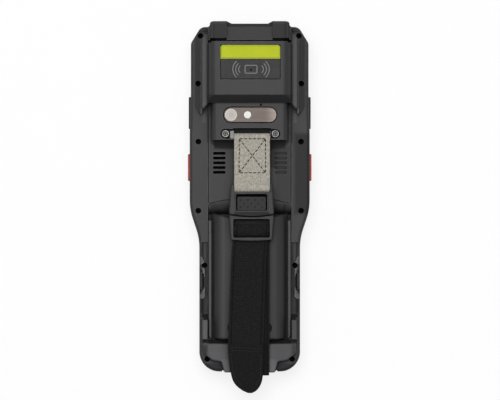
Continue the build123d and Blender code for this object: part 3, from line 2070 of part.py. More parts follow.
def port_lid(side):
    """Return one port lid: plate, seal plug and hinge barrel."""
    low, high = lid_plate_z()
    axis_x = lid_axis_x()
    outer = grip_width / 2
    half = lid_length / 2
    inner = outer - lid_thickness
    plate = block(inner, outer, lid_y - half, lid_y + half, low, high)
    plate = fillet(plate.edges().filter_by(Axis.X), 1.0)
    barrel_half = lid_barrel_length / 2
    solid = plate + block(
        inner, outer, lid_y - barrel_half, lid_y + barrel_half, high - 1, lid_hinge_z
    )
    solid += rod_y(axis_x, lid_y - barrel_half, lid_y + barrel_half, lid_hinge_z, lid_barrel_diameter)
    solid -= block(
        axis_x,
        outer + 1,
        lid_y - 2.0,
        lid_y + 2.0,
        low - 1,
        low + 0.9,
    )
    plug_half = lid_plug_width / 2
    rise = lid_plug_height / 2
    plug = block(
        inner - lid_plug_depth,
        inner + 0.2,
        lid_y - plug_half,
        lid_y + plug_half,
        port_z() - rise,
        port_z() + rise,
    )
    solid += fillet(plug.edges().filter_by(Axis.X), 1.2)
    hole = lid_pin_diameter + 2 * lid_pin_fit
    solid -= rod_y(axis_x, lid_y - half, lid_y + half, lid_hinge_z, hole)
    return solid if side > 0 else mirror(solid, Plane.YZ)


def lid_hinge_pins():
    """Return the two hinge pins of the port lids as one group."""
    half = lid_barrel_length / 2 + lid_clearance + lid_pin_grip
    x = lid_axis_x()
    pins = [
        rod_y(side * x, lid_y - half, lid_y + half, lid_hinge_z, lid_pin_diameter)
        for side in (-1, 1)
    ]
    return Compound(pins)


def port_mouth_x():
    """Return the x where the sockets' mouths lie."""
    return grip_width / 2 - lid_thickness - lid_clearance - lid_plug_depth - 0.3


def usb_socket():
    """Return the flat data socket behind the right lid."""
    x1 = port_mouth_x()
    x0 = x1 - socket_shell_depth
    half = socket_shell_width / 2
    z = port_z()
    place = Pos(lid_y, z)
    wall_pair = 2 * socket_shell_wall
    outer = RectangleRounded(socket_shell_width, socket_shell_height, socket_shell_height * 0.42)
    inner = RectangleRounded(
        socket_shell_width - wall_pair, socket_shell_height - wall_pair, socket_shell_height * 0.32
    )
    depth = socket_shell_depth - 1.2
    shell = section_y(place * outer, x0, x1)
    hollow = section_y(place * inner, x1 - depth, x1 + 1)
    tongue = block(
        x1 - depth - 0.2, x1 - 0.8, lid_y - half * 0.7, lid_y + half * 0.7, z - 0.35, z + 0.35
    )
    return shell - hollow + tongue


def audio_socket():
    """Return the round audio socket behind the left lid."""
    x1 = -port_mouth_x()
    z0 = board_seat_z + board_thickness
    half = jack_side / 2
    body = block(x1, x1 + jack_depth, lid_y - half, lid_y + half, z0, z0 + jack_height)
    body = fillet(body.edges().filter_by(Axis.X), 0.5)
    return body - rod_x(x1 - 1, x1 + jack_depth - 1, lid_y, z0 + jack_height / 2, jack_bore)


def display_window():
    """Return the display's glass."""
    low, high = display_area()
    solid = rounded_plate(
        0,
        (low + high) / 2,
        glass_width,
        high - low,
        glass_round - glass_fit,
        glass_sink,
        glass_sink + glass_thickness,
    )
    return chamfer(solid.edges().group_by(Axis.Z)[0], 0.2)


def display_panel():
    """Return the display panel behind the glass."""
    low, high = display_area()
    z0 = glass_sink + glass_thickness
    margin = 2 * (glass_border + 0.3)
    return rounded_plate(
        0,
        (low + high) / 2,
        glass_width - margin,
        high - low - margin,
        0.6,
        z0 + 0.05,
        z0 + panel_thickness,
    )


def mat_front_z():
    """Return the z of the keypad mat's front face."""
    return front_floor + key_flange_gap + key_flange_thickness + key_travel + 0.1


def keypad_mat():
    """Return the rubber mat between the keys and the keypad board."""
    low, high = field_area()
    solid = rounded_plate(
        0,
        (low + high) / 2,
        field_width() + mat_rib,
        high - low + mat_rib,
        field_round,
        mat_front_z(),
        keypad_board_z,
    )
    for x, y, _width, _height in key_table().values():
        solid -= rod_z(x, y, 0, keypad_board_z + 1, mat_hole)
    return solid - boss_notches(0, board_seat_z, boss_diameter + 0.4)


def keypad_board():
    """Return the keypad's circuit board with a dome under each key."""
    low, high = field_area()
    solid = rounded_plate(
        0,
        (low + high) / 2,
        field_width() + mat_rib,
        high - low + mat_rib,
        field_round,
        keypad_board_z,
        keypad_board_z + keypad_board_thickness,
    )
    for x, y, _width, _height in key_table().values():
        solid += rod_z(x, y, keypad_board_z - key_dome_height, keypad_board_z, key_dome)
    return solid - boss_notches(0, board_seat_z, boss_diameter + 0.4)


def keypad_key(name):
    """Return one keypad key: its cap, flange and stem."""
    x, y, width, height = key_table()[name]
    flange_z = front_floor + key_flange_gap
    cap = rounded_plate(x, y, width, height, key_round, key_sink, flange_z + key_flange_thickness)
    cap = fillet(cap.edges().group_by(Axis.Z)[0], 0.4)
    margin = 2 * key_flange
    cap += rounded_plate(
        x,
        y,
        width + margin,
        height + margin,
        key_round,
        flange_z,
        flange_z + key_flange_thickness,
    )
    stem_end = keypad_board_z - key_dome_height - key_travel - 0.05
    return cap + rod_z(x, y, flange_z, stem_end, key_stem)


def all_parts():
    """Return every piece under its node name."""
    parts = {
        "rear_housing": rear_housing(),
        "front_housing": front_housing(),
        "perimeter_gasket": perimeter_gasket(),
        "case_screws": case_screws(),
        "scan_bumper": scan_bumper(),
        "scan_window": scan_window(),
        "scanner_module": scanner_module(),
        "bottom_cover": bottom_cover(),
        "camera_bezel": camera_bezel(),
        "camera_window": camera_window(),
        "camera_module": camera_module(),
        "flash_led": flash_led(),
        "reader_label": reader_label(),
        "yellow_label": yellow_label(),
        "reader_antenna": reader_antenna(),
        "main_board": main_board(),
        "side_switches": side_switches(),
        "speaker": speaker(),
        "battery_shell": battery_shell(),
        "battery_cells": battery_cells(),
        "battery_contacts": battery_contacts(),
        "battery_latch": battery_latch(),
        "strap_bar": strap_bar(),
        "strap_bar_screws": strap_bar_screws(),
        "strap_tab": strap_tab(),
        "buckle_socket": buckle_socket(),
        "buckle_plug": buckle_plug(),
        "buckle_release": buckle_release(),
        "elastic_strap": elastic_strap(),
        "strap_end_tab": strap_end_tab(),
        "lower_strap_bar": lower_strap_bar(),
        "port_lid_left": port_lid(-1),
        "port_lid_right": port_lid(1),
        "port_skins": port_skins(),
        "lid_hinge_pins": lid_hinge_pins(),
        "usb_socket": usb_socket(),
        "audio_socket": audio_socket(),
        "display_window": display_window(),
        "display_panel": display_panel(),
        "keypad_mat": keypad_mat(),
        "keypad_board": keypad_board(),
    }
    for name in edge_key_places():
        parts[name] = edge_key(name)
    for name in key_table():
        parts[name] = keypad_key(name)
    return parts


os.makedirs("parts", exist_ok=True)
for node, part in all_parts().items():
    export_step(part, f"parts/{node}.step")
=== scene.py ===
"""The looks of a rugged handheld barcode terminal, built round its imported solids.

Pieces are in metres and in the frame of the solids: +X is the right side seen from the
back, +Y points to the scanner head and +Z out of the back. Sizes are written in
millimetres, unless their docstring says otherwise.
"""

import logging
import math
from collections.abc import Callable
from dataclasses import dataclass, field, replace
from enum import Enum
from typing import ClassVar

import bmesh
import bpy
from mathutils import Euler, Matrix, Vector
from mathutils.bvhtree import BVHTree


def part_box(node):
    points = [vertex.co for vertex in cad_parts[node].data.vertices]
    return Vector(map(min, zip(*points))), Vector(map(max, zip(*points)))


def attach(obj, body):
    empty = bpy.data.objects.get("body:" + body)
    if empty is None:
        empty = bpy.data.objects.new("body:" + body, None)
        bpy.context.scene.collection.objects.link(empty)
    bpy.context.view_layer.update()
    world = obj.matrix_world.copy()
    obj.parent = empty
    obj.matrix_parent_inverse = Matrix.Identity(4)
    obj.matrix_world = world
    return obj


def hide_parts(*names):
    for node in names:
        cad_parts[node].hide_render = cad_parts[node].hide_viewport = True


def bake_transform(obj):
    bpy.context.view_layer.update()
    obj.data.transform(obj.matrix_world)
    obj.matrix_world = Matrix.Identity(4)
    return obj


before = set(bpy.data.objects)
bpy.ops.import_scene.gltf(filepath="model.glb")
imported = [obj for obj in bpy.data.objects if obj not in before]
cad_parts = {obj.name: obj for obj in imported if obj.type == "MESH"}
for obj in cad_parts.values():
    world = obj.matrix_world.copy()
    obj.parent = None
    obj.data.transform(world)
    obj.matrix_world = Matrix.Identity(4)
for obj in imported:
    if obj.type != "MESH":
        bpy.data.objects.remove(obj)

MM = 0.001
NOISE = (0.3, 0.7)  # where most of a noise pattern lies
LOG = logging.getLogger("terminal")

Plan = tuple[float, float]
Colour = tuple[float, float, float]
Point = tuple[float, float, float]
Bar = tuple[float, float, float, float]
Socket = bpy.types.NodeSocket
Value = float | Colour | Socket


class Side(Enum):
    """The two long sides of the terminal, seen from the back."""

    LEFT = -1
    RIGHT = 1


class Coords(Enum):
    """The coordinates that a finish is laid out on."""

    SOLID = "Object"
    FLAT_CUT = "UV"


# ---------------------------------------------------------------------------
# Shader graphs


class Graph:
    """The node tree of one finish, with short ways to add its nodes."""

    def __init__(self, name: str, coords: Coords = Coords.SOLID) -> None:
        """Start a material with one Principled shader.

        Args:
            name: The material's name.
            coords: The coordinates that its patterns read.
        """
        self.material = bpy.data.materials.new(name)
        self.material.use_nodes = True
        self.tree = self.material.node_tree
        self.tree.nodes.clear()
        self.shader = self.add("BsdfPrincipled")
        self.add("OutputMaterial", {"Surface": self.shader.outputs["BSDF"]})
        self.place = self.add("TexCoord").outputs[coords.value]

    def add(
        self, kind: str, inputs: dict[str | int, Value] | None = None, **settings: object
    ) -> bpy.types.Node:
        """Add a node.

        Args:
            kind: The node's type name, less its first word.
            inputs: What its inputs take, by name or number.
            **settings: Its plain properties.

        Returns:
            The new node.
        """
        node = self.tree.nodes.new(f"ShaderNode{kind}")
        for key, value in settings.items():
            setattr(node, key, value)
        for key, value in (inputs or {}).items():
            self.feed(node.inputs[key], value)
        return node

    def feed(self, socket: Socket, value: Value) -> None:
        """Give a socket a constant, or link another socket to it.

        Args:
            socket: The socket that takes the value.
            value: A number, a colour or another socket.
        """
        if isinstance(value, Socket):
            self.tree.links.new(value, socket)
        elif isinstance(value, tuple) and socket.type == "RGBA":
            socket.default_value = (*value, 1.0)
        else:
            socket.default_value = value

    def set(self, **values: Value) -> None:
        """Set the shader's sockets, named with _ for a space."""
        for key, value in values.items():
            self.feed(self.shader.inputs[key.replace("_", " ")], value)

    def math(self, operation: str, *values: Value) -> Socket:
        """Return the result of a Math node."""
        return self.add("Math", dict(enumerate(values)), operation=operation).outputs[0]

    def plus(self, a: Value, b: Value) -> Socket:
        """Return a plus b."""
        return self.math("ADD", a, b)

    def minus(self, a: Value, b: Value) -> Socket:
        """Return a less b."""
        return self.math("SUBTRACT", a, b)

    def times(self, a: Value, b: Value) -> Socket:
        """Return a times b."""
        return self.math("MULTIPLY", a, b)

    def off(self, a: Value, b: float) -> Socket:
        """Return how far a is from b."""
        return self.math("ABSOLUTE", self.minus(a, b))

    def length(self, x: Socket, y: Socket) -> Socket:
        """Return the length of a way that is x across and y along."""
        return self.math("SQRT", self.plus(self.math("POWER", x, 2.0), self.math("POWER", y, 2.0)))

    def axes(self) -> tuple[Socket, ...]:
        """Return the coordinates' x, y and z in millimetres."""
        node = self.add("SeparateXYZ", {0: self.place})
        return tuple(self.times(out, 1 / MM) for out in node.outputs)

    def away(self, middle: Plan) -> Socket:
        """Return how far each place of the plan is from a point."""
        x, y, _z = self.axes()
        return self.length(self.minus(x, middle[0]), self.minus(y, middle[1]))

    def noise(self, scale: float | Point, detail: float = 3.0, rough: float = 0.5) -> Socket:
        """Return a noise pattern from 0 to 1.

        Args:
            scale: The pattern's frequency for each metre, or one for each axis.
            detail: The number of finer layers.
            rough: The weight of the finer layers.

        Returns:
            The pattern's socket.
        """
        place = self.place
        if isinstance(scale, tuple):
            place = self.add("Mapping", {"Vector": place, "Scale": scale}).outputs[0]
            scale = 1.0
        inputs = {"Vector": place, "Scale": scale, "Detail": detail, "Roughness": rough}
        return self.add("TexNoise", inputs).outputs["Fac"]

    def span(
        self, value: Socket, low: float, high: float, to_low: float = 0.0, to_high: float = 1.0
    ) -> Socket:
        """Map a value from one range to another, smoothly and with no overshoot.

        Args:
            value: The socket to map.
            low: The value that gives to_low.
            high: The value that gives to_high.
            to_low: The result at low.
            to_high: The result at high.

        Returns:
            The mapped value's socket.
        """
        names = ("Value", "From Min", "From Max", "To Min", "To Max")
        inputs = dict(zip(names, (value, low, high, to_low, to_high)))
        return self.add("MapRange", inputs, interpolation_type="SMOOTHSTEP").outputs[0]

    def blend(self, share: Value, first: Value, second: Value) -> Socket:
        """Mix two colours by a share from 0 to 1."""
        return self.add("Mix", {0: share, 6: first, 7: second}, data_type="RGBA").outputs[2]

    def box_mask(self, middle: Plan, half: Plan, soft: float) -> Socket:
        """Return a mask that is 1 inside a rectangle of the plan.

        Args:
            middle: The rectangle's centre.
            half: Half its width and half its height.
            soft: The width of its edge.

        Returns:
            The mask's socket.
        """
        x, y, _z = self.axes()
        across = self.minus(self.off(x, middle[0]), half[0])
        along = self.minus(self.off(y, middle[1]), half[1])
        return self.span(self.math("MAXIMUM", across, along), -soft, 0.0, 1.0, 0.0)

    def edges(self, radius: float) -> Socket:
        """Return a mask that is 1 at the edges of the form.

        Args:
            radius: The width of the edge band.

        Returns:
            The mask's socket.
        """
        inputs = {
            0: self.add("Bevel", {"Radius": radius * MM}, samples=4).outputs[0],
            1: self.add("NewGeometry").outputs["Normal"],
        }
        dot = self.add("VectorMath", inputs, operation="DOT_PRODUCT")
        return self.span(dot.outputs["Value"], 0.995, 0.90)

    def openness(self, reach: float) -> Socket:
        """Return how open each place is, from 0 in a tight corner to 1 on a free face.

        Args:
            reach: How far a neighbour still counts.

        Returns:
            The value's socket.
        """
        node = self.add("AmbientOcclusion", {"Distance": reach * MM}, samples=6)
        return self.span(node.outputs["AO"], 0.30, 0.97)

    def bump(self, height: Socket, depth: float) -> None:
        """Give the shader a bump.

        Args:
            height: The pattern's socket, from 0 to 1.
            depth: The pattern's depth.
        """
        inputs = {"Strength": 1.0, "Distance": depth * MM, "Height": height}
        self.set(Normal=self.add("Bump", inputs).outputs[0])


# ---------------------------------------------------------------------------
# Finishes


def shade(colour: Colour, factor: float) -> Colour:
    """Return a colour made lighter or darker by a factor."""
    return tuple(min(1.0, c * factor) for c in colour)


@dataclass(frozen=True)
class Well:
    """A hollow of a moulding, which light hardly reaches, painted with shade: its own tone and no
    sheen.
    """

    middle: Plan
    half: Plan
    top: float
    light: float


@dataclass(frozen=True)
class Patch:
    """A rectangle of the plan where a surface's colour and sheen are painted lighter or darker,
    mostly as light and shade.
    """

    middle: Plan
    half: Plan
    factor: float
    soft: float = 0.3
    ribs: float = 0.0


def both_sides(place: Well | Patch) -> tuple[Well | Patch, ...]:
    """Return a hollow or a patch, and its twin on the other side of the terminal."""
    x, y = place.middle
    return place, replace(place, middle=(-x, y))


@dataclass(frozen=True)
class Finish:
    """What a surface is made of."""

    name: str
    colour: Colour
    coords: ClassVar[Coords] = Coords.SOLID

    def tint(self, factor: float) -> Colour:
        """Return the finish's colour, lighter or darker by a factor."""
        return shade(self.colour, factor)

    def lay_out(self, made: Graph) -> None:
        """Lay the finish out on the graph of its material."""
        raise NotImplementedError

    def material(self) -> bpy.types.Material:
        """Make a material of the finish.

        Returns:
            The new material.
        """
        made = Graph(self.name, self.coords)
        self.lay_out(made)
        return made.material


@dataclass(frozen=True)
class MouldedPlastic(Finish):
    """A moulded plastic with a fine eroded texture, painted highlight on its edges and painted
    shade in its corners and hollows.
    """

    roughness: float = 0.56
    grain: float = 0.35
    depth: float = 0.02
    # How much lighter the edges are painted, as highlight.
    polish: float = 1.6
    specular: float = 0.36
    # How far a neighbour reaches when the corners are painted with shade.
    reach: float = 9.0
    # The share of the sheen kept in tight corners, as painted shade.
    closed: float = 0.25
    edge: float = 0.8
    mottle: float = 45.0
    # The scale of the wear pattern that breaks up the painted edge highlight.
    wear: float = 220.0
    wells: tuple[Well, ...] = ()
    patches: tuple[Patch, ...] = ()

    def lay_out(self, made: Graph) -> None:
        """Lay out the texture and painted edge highlight, the painted corner shade, then the
        patches and the painted shade of the hollows.

        Args:
            made: The graph of the material.
        """
        mottled = made.span(made.noise(self.mottle, 4.0), *NOISE)
        speck = made.noise(1500.0 / self.grain, 2.0, 0.6)
        body = made.blend(mottled, self.tint(0.93), self.tint(1.06))
        body = made.blend(made.span(speck, 0.35, 0.7, 0.0, 0.5), body, self.tint(0.86))
        # Lighter edges: a painted highlight, broken up by a wear pattern.
        worn = made.times(made.edges(self.edge), made.span(made.noise(self.wear), 0.35, 0.6))
        body = made.blend(worn, body, self.tint(1.0 + self.polish))
        # Painted shade: colour and sheen get darker where the surface lies close to other
        # surfaces.
        free = made.openness(self.reach)
        sheen = made.plus(made.times(free, 1.0 - self.closed), self.closed)
        sheen = made.times(sheen, self.specular)
        # Patches scale both the colour and the sheen; most are painted light and shade.
        for patch in self.patches:
            near = self.near(made, patch)
            body = made.blend(near, body, self.tint(patch.factor))
            sheen = made.times(sheen, made.plus(made.times(near, patch.factor - 1.0), 1.0))
        # Painted shade in the corners.
        body = made.blend(free, self.tint(0.3), body)
        # Painted shade in the hollows: their own tone and no sheen.
        for well in self.wells:
            hollow = self.hollow(made, well)
            body = made.blend(hollow, body, self.tint(well.light))
            sheen = made.times(made.minus(1.0, hollow), sheen)
        rough = made.span(speck, 0.2, 0.8, self.roughness + 0.06, self.roughness - 0.05)
        made.set(Base_Color=body, Roughness=rough, Specular_IOR_Level=sheen)
        made.bump(speck, self.depth)

    def hollow(self, made: Graph, well: Well) -> Socket:
        """Return the mask of one deep hollow."""
        deep = made.span(made.axes()[2], well.top - 0.5, well.top, 1.0, 0.0)
        return made.times(made.box_mask(well.middle, well.half, 0.05), deep)

    def near(self, made: Graph, patch: Patch) -> Socket:
        """Return the mask of one patch, with its fine ribs where it has them.

        Args:
            made: The graph of the material.
            patch: The patch.

        Returns:
            The mask's socket.
        """
        near = made.box_mask(patch.middle, patch.half, patch.soft)
        if patch.ribs:
            wave = made.math("PINGPONG", made.axes()[1], patch.ribs / 2)
            near = made.times(near, made.span(wave, 0.0, patch.ribs / 2, 0.6, 1.0))
        return near


@dataclass(frozen=True)
class DimpledPlastic(MouldedPlastic):
    """The release pad's plastic, with staggered rows of small dimples."""

    middle: Plan = (1.1, -4.0)
    half: Plan = (7.6, 3.1)
    pitch: float = 4.4
    row: float = 2.05
    dimple: float = 0.62
    dent: float = 0.25

    def lay_out(self, made: Graph) -> None:
        """Lay out the plastic and then its dimples, which are bumped and painted darker as shade.

        Args:
            made: The graph of the material.
        """
        MouldedPlastic.lay_out(self, made)
        x, y, _z = made.axes()
        line = made.math("DIVIDE", made.minus(y, self.middle[1]), self.row)
        odd = made.math("MODULO", made.math("ABSOLUTE", made.math("ROUND", line)), 2.0)
        column = made.math("DIVIDE", made.minus(x, self.middle[0]), self.pitch)
        column = made.plus(column, made.times(odd, 0.5))
        across = made.times(made.minus(column, made.math("ROUND", column)), self.pitch)
        along = made.times(made.minus(line, made.math("ROUND", line)), self.row)
        rim = made.span(made.length(across, along), self.dimple * 0.6, self.dimple)
        inside = made.box_mask(self.middle, self.half, 0.2)
        face = made.minus(1.0, made.times(inside, made.minus(1.0, rim)))
        made.bump(face, self.dent)
        # Painted shade in each dimple.
        made.set(Base_Color=made.blend(face, self.tint(0.35), self.colour))


@dataclass(frozen=True)
class Rubber(Finish):
    """A matt soft moulding."""

    roughness: float = 0.75

    def lay_out(self, made: Graph) -> None:
        """Lay out the fine dust and the grain.

        Args:
            made: The graph of the material.
        """
        dust = made.span(made.noise(300.0, 5.0, 0.65), 0.45, 0.75)
        made.set(
            Base_Color=made.blend(dust, self.colour, self.tint(1.3)),
            Roughness=made.span(dust, 0.0, 1.0, self.roughness, self.roughness + 0.12),
            Specular_IOR_Level=0.3,
        )
        made.bump(made.noise(4000.0, 2.0), 0.01)


@dataclass(frozen=True)
class BrushedMetal(Finish):
    """A metal with fine lines of brushing along one axis."""

    roughness: float = 0.32
    lines: Point = (60.0, 9000.0, 9000.0)
    wear: float = 0.25
    # Painted shade outside this box, by its factor.
    plated: Patch | None = None
    # Painted highlight: from one x to another the tone rises to a factor.
    turned: Point | None = None

    def lay_out(self, made: Graph) -> None:
        """Lay out the brushing, the painted shade outside a middle box and the painted highlight
        towards one end.

        Args:
            made: The graph of the material.
        """
        brushed = made.noise(self.lines, 4.0)
        tone = made.blend(brushed, self.tint(0.82), self.tint(1.12))
        tone = made.blend(made.edges(0.2), tone, self.tint(1.0 + self.wear))
        # Painted shade outside the box.
        if self.plated is not None:
            near = made.box_mask(self.plated.middle, self.plated.half, self.plated.soft)
            tone = made.blend(near, self.tint(self.plated.factor), tone)
        # Painted highlight, rising from one x to another.
        if self.turned is not None:
            start, end, factor = self.turned
            tone = made.blend(made.span(made.axes()[0], start, end), tone, self.tint(factor))
        rough = made.span(brushed, 0.2, 0.8, self.roughness - 0.06, self.roughness + 0.1)
        made.set(Base_Color=tone, Metallic=1.0, Roughness=rough)
        made.bump(brushed, 0.006)


@dataclass(frozen=True)
class RingedScrew(Finish):
    """A plated screw whose face is painted with rings of shade and highlight: a dark socket, a
    ring, a dark step and a bright rim.
    """

    centres: tuple[Plan, ...]
    # The radius and the tone of each painted ring, from the dark socket out to the highlight on
    # the rim.
    bands: tuple[Plan, ...] = ((0.6, 0.03), (1.0, 0.5), (1.62, 0.03), (2.3, 1.25))

    def lay_out(self, made: Graph) -> None:
        """Lay out the painted rings of shade and highlight round each screw's centre.

        Args:
            made: The graph of the material.
        """
        reach: Value = 99.0
        for centre in self.centres:
            reach = made.math("MINIMUM", reach, made.away(centre))
        worn = made.span(made.noise(700.0), 0.35, 0.7)
        tone: Value = self.tint(self.bands[0][1])
        for (edge, _inner), (_edge, outer) in zip(self.bands, self.bands[1:]):
            tone = made.blend(made.span(reach, edge - 0.08, edge + 0.08), tone, self.tint(outer))
        made.set(
            Base_Color=made.blend(made.times(worn, 0.25), tone, self.tint(0.5)),
            Metallic=0.9,
            Roughness=made.span(worn, 0.0, 1.0, 0.5, 0.62),
        )
        made.bump(worn, 0.01)


@dataclass(frozen=True)
class Film(Finish):
    """A printed label film with a thin printed border."""

    line: Colour
    middle: Plan
    half: Plan
    inset: float = 0.45
    width: float = 0.18
    roughness: float = 0.58

    def lay_out(self, made: Graph) -> None:
        """Lay out the border and the slightly faded ground.

        Args:
            made: The graph of the material.
        """
        outer = tuple(h - self.inset for h in self.half)
        inner = tuple(h - self.width for h in outer)
        masks = [made.box_mask(self.middle, half, 0.05) for half in (outer, inner)]
        fade = made.span(made.noise(90.0), *NOISE)
        ground = made.blend(fade, self.tint(0.95), self.tint(1.04))
        rough = made.noise(600.0, 2.0)
        made.set(
            Base_Color=made.blend(made.minus(*masks), ground, self.line),
            Roughness=made.span(rough, *NOISE, self.roughness, self.roughness + 0.1),
            Specular_IOR_Level=0.25,
        )
        made.bump(made.noise(2500.0, 2.0), 0.004)


@dataclass(frozen=True)
class Webbing(Finish):
    """A woven webbing on the flat cut of its strip; its colour is the warp's."""

    weft: Colour
    thread: float = 0.55
    row: float = 0.42
    depth: float = 0.09
    heather: float = 0.22
    fuzz: float = 0.25
    selvedge: float = 0.0
    ribs: float = 0.0
    # How far the painted shade near other parts reaches.
    reach: float = 0.0
    coords: ClassVar[Coords] = Coords.FLAT_CUT

    def lay_out(self, made: Graph) -> None:
        """Lay out the weave, its mixed yarn, its ribs, its edges and the painted shade near other
        parts.

        Args:
            made: The graph of the material.
        """
        x, y, _z = made.axes()
        across = made.math("DIVIDE", x, self.thread)
        step = made.math("MODULO", made.math("ABSOLUTE", made.math("FLOOR", across)), 2.0)
        over = made.math("PINGPONG", made.plus(made.math("DIVIDE", y, self.row), step), 1.0)
        crown = made.math("SINE", made.times(made.math("PINGPONG", across, 0.5), math.pi))
        lift = made.math("SINE", made.times(over, math.pi / 2))
        height = made.times(crown, made.plus(made.times(lift, 0.65), 0.35))
        tone = made.blend(made.span(height, 0.1, 0.75), self.weft, self.colour)
        mixed = made.span(made.noise((1500.0, 900.0, 1.0)), 0.36, 0.66)
        tone = made.blend(made.times(mixed, self.heather), tone, self.tint(1.5))
        pale = made.span(made.noise((900.0, 620.0, 1.0), 2.0), 0.36, 0.64, 0.0, 0.42)
        tone = made.blend(pale, tone, shade(self.weft, 0.62))
        if self.ribs:
            drawn = made.times(made.noise((160.0, 90.0, 1.0)), self.ribs * 4.0)
            wave = made.math("PINGPONG", made.plus(y, drawn), self.ribs / 2)
            worn = made.span(made.noise((500.0, 1400.0, 1.0), 2.0), 0.42, 0.62, 0.05, 0.75)
            shown = made.times(made.span(wave, 0.0, self.ribs / 2), worn)
            tone = made.blend(shown, tone, self.tint(1.9))
        if self.selvedge:
            line = made.off(made.math("ABSOLUTE", x), self.selvedge)
            tone = made.blend(made.span(line, 0.15, 0.5, 0.85, 0.0), tone, shade(self.weft, 0.3))
        # Painted shade where the webbing runs close to other parts.
        if self.reach:
            tone = made.blend(made.openness(self.reach), shade(self.weft, 0.2), tone)
        made.set(
            Base_Color=tone,
            Roughness=made.span(mixed, 0.0, 1.0, 0.82, 0.95),
            Specular_IOR_Level=0.15,
            Sheen_Weight=self.fuzz,
            Sheen_Roughness=0.5,
        )
        made.bump(made.plus(height, made.times(mixed, 0.35)), self.depth)


@dataclass(frozen=True)
class Thread(Finish):
    """A twisted sewing thread."""

    def lay_out(self, made: Graph) -> None:
        """Lay out the twist.

        Args:
            made: The graph of the material.
        """
        twist = made.noise(5000.0, 2.0)
        tone = made.blend(twist, self.tint(0.7), self.tint(1.5))
        made.set(Base_Color=tone, Roughness=0.7, Specular_IOR_Level=0.25)
        made.bump(twist, 0.05)


@dataclass(frozen=True)
class Pane(Finish):
    """A clear or tinted window, with a dark printed border where it has one."""

    roughness: float = 0.06
    clear: float = 0.0
    coat: float = 0.3
    border: Colour | None = None
    middle: Plan = (0.0, 0.0)
    half: Plan = (0.0, 0.0)

    def lay_out(self, made: Graph) -> None:
        """Lay out the smears and the border.

        Args:
            made: The graph of the material.
        """
        smear = made.span(made.noise(80.0, 4.0, 0.6), 0.4, 0.75)
        tone = made.blend(smear, self.colour, self.tint(1.15))
        if self.border is not None:
            tone = made.blend(made.box_mask(self.middle, self.half, 0.1), self.border, tone)
        made.set(
            Base_Color=tone,
            Roughness=made.span(smear, 0.0, 1.0, self.roughness, self.roughness + 0.06),
            Transmission_Weight=self.clear,
            IOR=1.5,
            Coat_Weight=self.coat,
            Coat_Roughness=0.05,
        )


@dataclass(frozen=True)
class LensGlass(Finish):
    """The camera's coated cover, which shows the rings of the barrel under it."""

    middle: Plan
    rings: tuple[float, ...] = (1.1, 2.5)

    def lay_out(self, made: Graph) -> None:
        """Lay out the glow at the middle and the rings.

        Args:
            made: The graph of the material.
        """
        reach = made.away(self.middle)
        tone = made.blend(made.span(reach, 0.4, 3.6), self.tint(0.86), self.tint(1.06))
        for ring in self.rings:
            near = made.span(made.off(reach, ring), 0.0, 0.3, 0.55, 0.0)
            tone = made.blend(near, tone, self.tint(0.45))
        rough = made.span(made.noise(300.0), *NOISE, 0.3, 0.4)
        made.set(Base_Color=tone, Roughness=rough, Specular_IOR_Level=0.3)


@dataclass(frozen=True)
class CircuitBoard(Finish):
    """A lacquered circuit board with traces and pads."""

    plating: Colour = (0.62, 0.55, 0.38)

    def lay_out(self, made: Graph) -> None:
        """Lay out the traces and the pads.

        Args:
            made: The graph of the material.
        """
        kinds = (("DISTANCE_TO_EDGE", 330.0), ("F1", 520.0))
        cells, pads = (
            made.add("TexVoronoi", {"Scale": scale, "Vector": made.place}, feature=kind)
            for kind, scale in kinds
        )
        traces = made.span(cells.outputs["Distance"], 0.03, 0.08, 1.0, 0.0)
        dots = made.span(pads.outputs["Distance"], 0.16, 0.2, 1.0, 0.0)
        tone = made.blend(traces, self.colour, self.tint(1.7))
        tone = made.blend(dots, tone, self.plating)
        made.set(Base_Color=tone, Roughness=0.35, Metallic=made.times(dots, 0.8))
        made.bump(traces, 0.02)


# ---------------------------------------------------------------------------
# Making pieces


class Form:
    """A mesh under construction, in metres and in the frame of the solids."""

    def __init__(self) -> None:
        """Start an empty mesh."""
        self.bm = bmesh.new()

    def stitch(
        self, middle: Vector, along: Vector, up: Vector, length: float, thick: float
    ) -> None:
        """Add one stitch, a low rounded capsule that lies on the cloth.

        Args:
            middle: The stitch's centre.
            along: The direction that the stitch runs in.
            up: The cloth's normal.
            length: The stitch's length in metres.
            thick: The thread's diameter in metres.
        """
        side = up.cross(along).normalized()
        turn = Matrix((along.normalized(), side, up.normalized())).transposed().to_4x4()
        size = Matrix.Diagonal((length / 2, thick / 2, thick / 2, 1.0))
        place = Matrix.Translation(middle) @ turn @ size
        bmesh.ops.create_uvsphere(self.bm, u_segments=8, v_segments=5, radius=1.0, matrix=place)

    def raise_faces(self, faces: list[bmesh.types.BMFace], thick: float) -> None:
        """Extrude flat faces upwards into a solid.

        Args:
            faces: The faces.
            thick: The solid's thickness in metres.
        """
        made = bmesh.ops.extrude_face_region(self.bm, geom=faces, use_keep_orig=True)
        moved = [v for v in made["geom"] if isinstance(v, bmesh.types.BMVert)]
        bmesh.ops.translate(self.bm, verts=moved, vec=(0, 0, thick))

    def done(
        self, name: str, material: bpy.types.Material, smooth: bool = True
    ) -> bpy.types.Object:
        """Close the mesh, make it an object and return it.

        Args:
            name: The piece's name.
            material: Its material.
            smooth: Whether its faces are shaded smooth.

        Returns:
            The new object.
        """
        bmesh.ops.remove_doubles(self.bm, verts=self.bm.verts, dist=1e-7)
        bmesh.ops.recalc_face_normals(self.bm, faces=self.bm.faces)
        for face in self.bm.faces:
            face.smooth = smooth
        mesh = bpy.data.meshes.new(name)
        self.bm.to_mesh(mesh)
        self.bm.free()
        mesh.materials.append(material)
        return show(bpy.data.objects.new(name, mesh))


